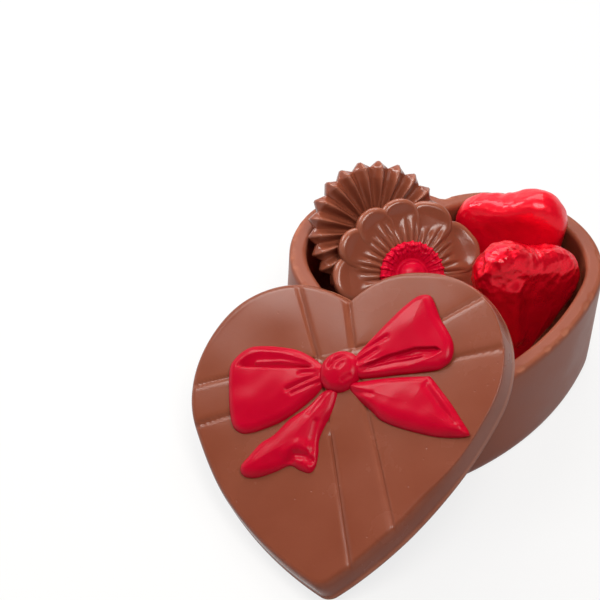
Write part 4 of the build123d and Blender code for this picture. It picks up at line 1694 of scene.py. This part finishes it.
    def centre(self) -> Skin:
        """The red centre: a domed button in a moat, then pleats that climb to a knobbed, frilled edge.

        Height is the disc, the button's dome and the pleats: a rounded cosine of the angle whose height
        follows the share of the radius. Only the outer half of the radius swings with that cosine.

        Returns:
            The closed skin.
        """
        angle = full_turn(self.fringe * 18)
        sway = 0.5 * np.cos(5.0 * angle + 0.6) + 0.35 * np.cos(9.0 * angle + 2.0)
        turn = (self.fringe * angle + sway) / 2.0
        ribs = 0.55 * np.abs(np.cos(turn)) + 0.45 * np.abs(np.cos(2.0 * turn))
        below = [0.0, 0.6, 0.95, 0.985]
        shares = np.concatenate([below, 1.0 - np.linspace(0.0, 1.0, 90)])
        share = shares[:, None] * np.ones_like(angle)
        radius = self.disc * share * (1.0 - self.frill * smooth(0.5, 1.0, share) * (1.0 - ribs))
        flat = radius[..., None] * circle(angle)
        knobs = np.cos(2.0 * np.pi * (share - 0.9) / 0.2 + 1.6 * np.cos(self.fringe / 2.0 * angle))
        climb = np.interp(share, *self.fringe_climb)
        top = self.disc_thick + self.fringe_rise * climb * (0.55 + 0.45 * ribs)
        top += self.knob_rise * knobs * ribs * smooth(0.6, 0.75, share) * smooth(1.0, 0.95, share)
        reach = np.clip(radius / (self.button + 0.7), 0.0, 1.0)
        top += self.button_rise * 0.7 * np.sqrt(1.0 - reach**2.8)
        depth, wave = self.disc_wave
        top += depth * ripple(lift_rings(flat, share), wave, self.seeds[2])
        heights = np.where(np.arange(len(shares))[:, None] >= len(below), top, 0.0)
        return Skin(self.flower_seat().raised(self.thick * self.seat_share).place(lift_rings(flat, heights)))

    def dress(self, chocolate: Material, coating: Material) -> None:
        """Makes the daisy, the flower and its red centre.

        Args:
            chocolate: finish of the daisy and the flower.
            coating: finish of the centre.
        """
        make_piece("daisy", self.daisy(), "daisy", "daisy_chocolate", chocolate)
        make_piece("flower", self.flower(), "flower", "flower_petals", chocolate)
        make_piece("flower_fringe", [self.centre()], "flower", "flower_centre", coating)


@dataclass(frozen=True)
class HeartPlace:
    """Where a wrapped heart is, and how its foil lies.

    Attributes:
        name: first word of its nodes.
        body: the CAD body that carries it.
        seat: its middle plane.
        finish: finish of its foil.
        crinkled: how crinkled the foil is, from 0 to 1.
        seed: seed of its crinkles.
        bulges: loose places of the foil: place, rise and half width in mm.
        ridge: corners of a fold down its face in mm, and the fold's rise and half width.
    """

    name: str
    body: str
    seat: Seat
    finish: Material
    crinkled: float
    seed: int
    bulges: tuple[tuple[float, float, float, float], ...] = ()
    ridge: tuple[Path, float, float] | None = None


@dataclass
class WrappedHearts:
    """Solid chocolate hearts in red foil: two stand on their tips and one lies under the flowers.

    Attributes:
        base: the tray that carries them.
        outline: outline of a heart, its cleft bridged by the foil.
        thick: thickness in mm.
        power: power of the rounding from rim to face.
        proud: distance of the foil in front of the faces in mm.
        loose: width of the foil as a share of the heart's.
        seat_gap: clearance to the floor of the hollow in mm.
        fine_creases: spacing and rise of the two finer sizes of crumple in mm.
        broad_crease: spacing and rise of the broad crumple in mm.
        pleats: pleats on a full turn, how far they wander in radians, and the length of that in mm.
        pleat_rise: rise of the pleats behind in mm.
        fold_pace: turn of the long folds per mm sideways and per mm upwards, in radians.
        fold_wander: how far these folds wander in radians, and the length of that in mm.
        fold_depth: depth of the long folds in mm.
        swing: least and most height of all creases in mm.
        rows: rings from back to front.
        counts: points on the four arcs of half the outline.
    """

    base: BaseTray
    outline: HeartOutline = HeartOutline(39.5, 9.3, 118.5, 20.0, 3.65, 9.0)
    thick: float = 14.0
    power: float = 3.8
    proud: float = 0.3
    loose: float = 1.01
    seat_gap: float = 0.3
    fine_creases: tuple[Pair, Pair] = ((3.2, 0.55), (1.5, 0.28))
    broad_crease: Pair = (8.0, 0.35)
    pleats: Triple = (26.0, 3.0, 14.0)
    pleat_rise: float = 0.28
    fold_pace: Pair = (0.55, 0.05)
    fold_wander: Pair = (2.5, 30.0)
    fold_depth: float = 0.35
    swing: Pair = (-0.15, 0.45)
    rows: int = 112
    counts: Counts = (10, 70, 70, 22)

    def standing(self, place: Pair, yaw: float, lean: float, roll: float) -> Seat:
        """Plane of a heart on its tip on the floor of the hollow.

        Args:
            place: place of the tip in mm.
            yaw: turn about the vertical in degrees.
            lean: lean back in degrees.
            roll: turn in its own plane in degrees.

        Returns:
            The seat.
        """
        side, slope, facing = leaning_axes(yaw, lean)
        turn = math.radians(roll)
        across = side * math.cos(turn) + slope * math.sin(turn)
        along = slope * math.cos(turn) - side * math.sin(turn)
        foot = np.array([*place, self.base.floor + 2.0 * self.seat_gap])
        origin = foot + slope * self.outline.tip_round - along * self.outline.tip_height()
        return Seat(tuple(origin), tuple(across), tuple(facing))

    def lying(self, side_place: float, back_place: float, yaw: float) -> Seat:
        """Plane of a heart that lies on the floor of the hollow, its tip backwards.

        Args:
            side_place: place of its middle sideways in mm.
            back_place: place of its middle backwards in mm.
            yaw: turn about the vertical in degrees.

        Returns:
            The seat.
        """
        side, _, _ = leaning_axes(yaw, 0.0)
        back = np.array([-side[1], side[0], 0.0])
        level = np.array([0.0, 0.0, self.base.floor + 2.0 * self.seat_gap + self.thick / 2.0])
        origin = side * side_place + back * (back_place + self.outline.middle()[1]) + level
        return Seat(tuple(origin), tuple(-side), (0.0, 0.0, 1.0))

    def creases(self, place: HeartPlace, rings: Array) -> tuple[Array, Array]:
        """Heights of the foil's creases: three sizes of crumple, pleats towards the back, folds to the tip.

        Args:
            place: the heart's place.
            rings: the smooth foil in mm.

        Returns:
            Heights in mm, and how crisp the fine crinkles are from 0 to 1.
        """
        flat, face, seed = rings[..., :2], rings[..., 2] / self.thick * 2.0, place.seed
        upper = smooth(-14.0, 2.0, flat[..., 1])
        crisp = np.clip(place.crinkled * (0.25 + 0.75 * upper) * (bell(face, 0.75) + 0.25), 0.05, 1.0)
        angle = np.arctan2(flat[..., 1] - self.outline.middle()[1], flat[..., 0])
        count, wander, length = self.pleats
        pleats = np.cos(count * angle + wander * ripple(rings, length, seed)) * smooth(-0.2, -0.9, face)
        (sideways, upwards), (wander, length) = self.fold_pace, self.fold_wander
        drift = wander * ripple(rings, length, seed + 1)
        folds = np.cos(sideways * flat[..., 0] + upwards * flat[..., 1] + drift)
        long_folds = smooth(-2.0, -22.0, flat[..., 1]) * np.abs(folds)
        height = np.zeros_like(crisp)
        for step, (spacing, rise) in enumerate(self.fine_creases, 2):
            height += rise * crisp * (crumple(rings, spacing, seed + step) - 0.5)
        spacing, rise = self.broad_crease
        height += rise * (0.4 + place.crinkled) * (crumple(rings, spacing, seed + 4) - 0.6)
        height += self.pleat_rise * pleats - self.fold_depth * place.crinkled * long_folds
        return np.clip(height - np.median(height), *self.swing), crisp

    def foil(self, place: HeartPlace) -> Skin:
        """Foil: a cushion on the heart outline, moved along its normals by creases, bulges and a ridge.

        The cushion is a superellipse from rim to face. A bulge is a bell of the distance to its place, and
        a ridge a bell of the distance to its path.

        Args:
            place: the heart's place.

        Returns:
            The closed skin, marked by how crisp the fine crinkles are.
        """
        loop, _ = self.outline.loop(self.counts)
        lean = np.linspace(-np.pi / 2.0, np.pi / 2.0, self.rows)
        shares = self.loose * np.cos(lean) ** (2.0 / self.power)
        shares[0] = shares[-1] = 0.0
        levels = np.sign(lean) * np.abs(np.sin(lean)) ** (2.0 / self.power) * (self.thick / 2.0 + self.proud)
        flat = fan(loop, self.outline.middle(), shares)
        rings = lift_rings(flat, levels)
        height, crisp = self.creases(place, rings)
        for x, y, rise, spread in place.bulges:
            height += rise * bell(np.hypot(flat[..., 0] - x, flat[..., 1] - y), spread)
        if place.ridge is not None:
            path, rise, half = place.ridge
            height += rise * bell(path_distance(flat, np.array(path)), half) * (levels > 0.0)[:, None]
        moved = height[..., None] * ring_normals(rings)
        moved[0], moved[-1] = moved[1].mean(0), moved[-2].mean(0)
        return Skin(place.seat.place(rings + moved), {Mark.WEAR: crisp})

    def places(self, crinkled: Material, rubbed: Material) -> tuple[HeartPlace, ...]:
        """The three hearts.

        Args:
            crinkled: foil that is creased into small mirror facets.
            rubbed: foil that is rubbed smooth.

        Returns:
            Their places.
        """
        front = self.standing((22.4, -18.2), 22.5, 12.6, -15.6)
        back = self.standing((31.05, 11.54), -16.9, 8.7, 16.0)
        front_bulges = ((-10.0, 11.0, 1.1, 9.0), (0.0, 8.0, 1.6, 6.0))
        front_ridge = (((-8.0, -2.0), (-5.5, -10.0), (-1.5, -21.0)), 1.7, 2.8)
        back_bulges = ((10.0, 11.0, 1.2, 9.0), (0.0, 8.0, 1.9, 6.0))
        return (
            HeartPlace("front_heart", "front_heart", front, crinkled, 1.0, 81, front_bulges, front_ridge),
            HeartPlace("back_heart", "back_heart", back, rubbed, 0.3, 91, back_bulges),
            HeartPlace("lower_heart", "base", self.lying(-16.0, 10.6, 22.4), crinkled, 0.5, 101),
        )

    def dress(self, crinkled: Material, rubbed: Material, chocolate: Material) -> None:
        """Makes the foil of each heart, and gives its chocolate core a finish.

        Args:
            crinkled: foil that is creased into small mirror facets.
            rubbed: foil that is rubbed smooth.
            chocolate: finish of the cores.
        """
        for place in self.places(crinkled, rubbed):
            name, skin = place.name, self.foil(place)
            make_piece(f"{name}_wrap", [skin], place.body, f"{name}_foil", place.finish)
            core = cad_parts[f"{name}_core"]
            core.data.materials.clear()
            core.data.materials.append(chocolate)


@dataclass(frozen=True)
class SoftBox:
    """A soft lamp.

    Attributes:
        name: name of the lamp.
        place: place in mm.
        size: width and height in mm.
        watts: its power.
        tint: its colour.
    """

    name: str
    place: Triple
    size: Pair
    watts: float
    tint: str = "fffdf9"

    def hang(self, target: Triple) -> None:
        """Adds the lamp, aimed at a target in mm.

        Args:
            target: point that it faces.
        """
        data = bpy.data.lights.new(self.name, "AREA")
        data.shape, data.size, data.size_y = "RECTANGLE", self.size[0] * MM, self.size[1] * MM
        data.energy, data.color = self.watts, linear(self.tint)[:3]
        lamp = bpy.data.objects.new(self.name, data)
        lamp.location = Vector(self.place) * MM
        aim = Vector(target) * MM - lamp.location
        lamp.rotation_euler = aim.to_track_quat("-Z", "Y").to_euler()
        bpy.context.scene.collection.objects.link(lamp)


LAMPS = (
    SoftBox("top_box", (70.0, -240.0, 640.0), (300.0, 260.0), 3.5, "fffaf4"),
    SoftBox("back_box", (-40.0, 420.0, 480.0), (520.0, 300.0), 3.1),
    SoftBox("left_box", (-470.0, 235.0, 450.0), (260.0, 260.0), 2.9),
    SoftBox("near_box", (-310.0, -220.0, 570.0), (240.0, 240.0), 0.4),
)


@dataclass
class Studio:
    """Pale floor, soft lamps and the camera at the photograph's viewing angle.

    Attributes:
        eye: place of the camera in mm.
        right: sideways direction of the picture.
        ahead: viewing direction.
        focal: focal length in pixels of the picture.
        centre: principal point in pixels.
        picture: side of the picture in pixels.
        sensor: width of the camera's sensor in mm.
        clip: nearest and farthest distance that the camera sees, in metres.
        target: point that the lamps face in mm.
        floor_size: side of the floor in mm.
        floor_tint: colour of the paper.
        floor_lift: share of plain white in the floor where it is seen.
        white: colour of the backdrop and of the lifted floor.
        fill: strength of the even fill light.
        ceiling: strength of the ceiling where it is seen.
        horizon: heights of the viewing direction where the backdrop starts and ends to dim.
    """

    eye: Triple = (-74.1, -535.8, 521.3)
    right: Triple = (0.99889, -0.00539, 0.04673)
    ahead: Triple = (0.03603, 0.72621, -0.68653)
    focal: float = 2062.7
    centre: Pair = (307.5, 305.0)
    picture: float = 600.0
    sensor: float = 36.0
    clip: Pair = (0.05, 20.0)
    target: Triple = (-15.0, -25.0, 20.0)
    floor_size: float = 4000.0
    floor_tint: str = "cfcecd"
    floor_lift: float = 0.8
    white: str = "ffffff"
    fill: float = 0.14
    ceiling: float = 0.1
    horizon: Pair = (0.12, 0.5)

    def camera(self) -> None:
        """Sets the camera from the eye, the picture's directions and its principal point."""
        data = bpy.data.cameras.new("camera")
        data.sensor_width = self.sensor
        data.lens = self.focal / self.picture * self.sensor
        data.shift_x = (self.picture / 2.0 - self.centre[0]) / self.picture
        data.shift_y = (self.centre[1] - self.picture / 2.0) / self.picture
        data.clip_start, data.clip_end = self.clip
        right, ahead = Vector(self.right).normalized(), Vector(self.ahead).normalized()
        turn = Matrix((right, right.cross(ahead), -ahead)).transposed()
        camera = bpy.data.objects.new("camera", data)
        camera.matrix_world = Matrix.Translation(Vector(self.eye) * MM) @ turn.to_4x4()
        bpy.context.scene.collection.objects.link(camera)
        bpy.context.scene.camera = camera

    @staticmethod
    def seen(tree: bpy.types.NodeTree) -> Socket:
        """A value that is 1 for rays of the camera, of mirrors and through glass, and 0 for others.

        Args:
            tree: the node tree that needs it.

        Returns:
            The value's socket.
        """
        path = add_node(tree, "LightPath", {}, {}).outputs
        mirror = add_node(
            tree, "Math", {"_operation": "MAXIMUM"},
            {0: path["Is Glossy Ray"], 1: path["Is Transmission Ray"]},
        )
        both = {0: path["Is Camera Ray"], 1: mirror.outputs[0]}
        return add_node(tree, "Math", {"_operation": "MAXIMUM"}, both).outputs[0]

    def floor(self) -> None:
        """A white paper floor, lifted towards white where the camera and mirrors see it."""
        half = self.floor_size / 2.0 * MM
        corners = [(-half, -half, 0.0), (half, -half, 0.0), (half, half, 0.0), (-half, half, 0.0)]
        mesh = bpy.data.meshes.new("paper_floor")
        mesh.from_pydata(corners, [], [(0, 1, 2, 3)])
        material, tree = new_material("white_paper")
        paper = add_node(tree, "BsdfDiffuse", {"Color": linear(self.floor_tint)}, {})
        white = add_node(tree, "Emission", {"Color": linear(self.white), "Strength": 1.0}, {})
        share = add_node(tree, "Math", {"_operation": "MULTIPLY", 1: self.floor_lift}, {0: self.seen(tree)})
        both = add_node(
            tree, "MixShader", {}, {0: share.outputs[0], 1: paper.outputs[0], 2: white.outputs[0]}
        )
        add_node(tree, "OutputMaterial", {}, {"Surface": both.outputs[0]})
        mesh.materials.append(material)
        floor = bpy.data.objects.new("paper_floor", mesh)
        bpy.context.scene.collection.objects.link(floor)

    def world(self) -> None:
        """A backdrop that is white at the horizon and dim at the ceiling where it is seen, and even fill."""
        world = bpy.data.worlds.new("studio")
        world.use_nodes = True
        tree = world.node_tree
        tree.nodes.clear()
        way = add_node(tree, "TexCoord", {}, {})
        split = add_node(tree, "SeparateXYZ", {}, {0: way.outputs["Generated"]})
        wall = add_node(
            tree, "MapRange",
            {
                "_interpolation_type": "SMOOTHSTEP", "From Min": self.horizon[0],
                "From Max": self.horizon[1], "To Min": 1.0, "To Max": self.ceiling,
            },
            {"Value": split.outputs["Z"]},
        )
        backdrop = add_node(tree, "Background", {"Color": linear(self.white)}, {"Strength": wall.outputs[0]})
        fill = add_node(tree, "Background", {"Color": linear(self.white), "Strength": self.fill}, {})
        both = add_node(
            tree, "MixShader", {}, {0: self.seen(tree), 1: fill.outputs[0], 2: backdrop.outputs[0]}
        )
        add_node(tree, "OutputWorld", {}, {"Surface": both.outputs[0]})
        bpy.context.scene.world = world

    def set_up(self) -> None:
        """Builds the whole studio."""
        self.camera()
        self.floor()
        self.world()
        for lamp in LAMPS:
            lamp.hang(self.target)
        bpy.context.scene.view_settings.view_transform = "Standard"


def main() -> None:
    """Builds the studio, then each sub-assembly with its finishes."""
    logging.basicConfig(level=logging.INFO, format="%(name)s %(message)s")
    Studio().set_up()
    matt = MouldedChocolate("matt_milk_chocolate", (0.34, 0.46), 0.15).build()
    satin = MouldedChocolate("satin_milk_chocolate", (0.2, 0.3), 0.22, "6e3726", "7f432f").build()
    polished = MouldedChocolate("polished_milk_chocolate", (0.17, 0.26), 0.36).build()
    coating = CandyCoating("red_candy_coating", "9e001c", "b00326").build()
    # The flower's centre gets the bow's red coating painted lighter, to offset the shade among its deep
    # pleats: painted light.
    lightened_coating = CandyCoating("lightened_candy_coating", "bc0425", "ce0a31").build()
    crinkled_foil = CandyFoil("crinkled_red_foil", 0.62, (0.26, 0.4)).build()
    smooth_foil = CandyFoil("smooth_red_foil", 0.3, (0.3, 0.42)).build()
    base = BaseTray()
    make_piece("base", [base.skin()], "base", "base_shell", matt)
    LidWithBow(base).dress(satin, coating)
    FlowerPair(base).dress(polished, lightened_coating)
    WrappedHearts(base).dress(crinkled_foil, smooth_foil, polished)


if __name__ == "__main__":
    main()
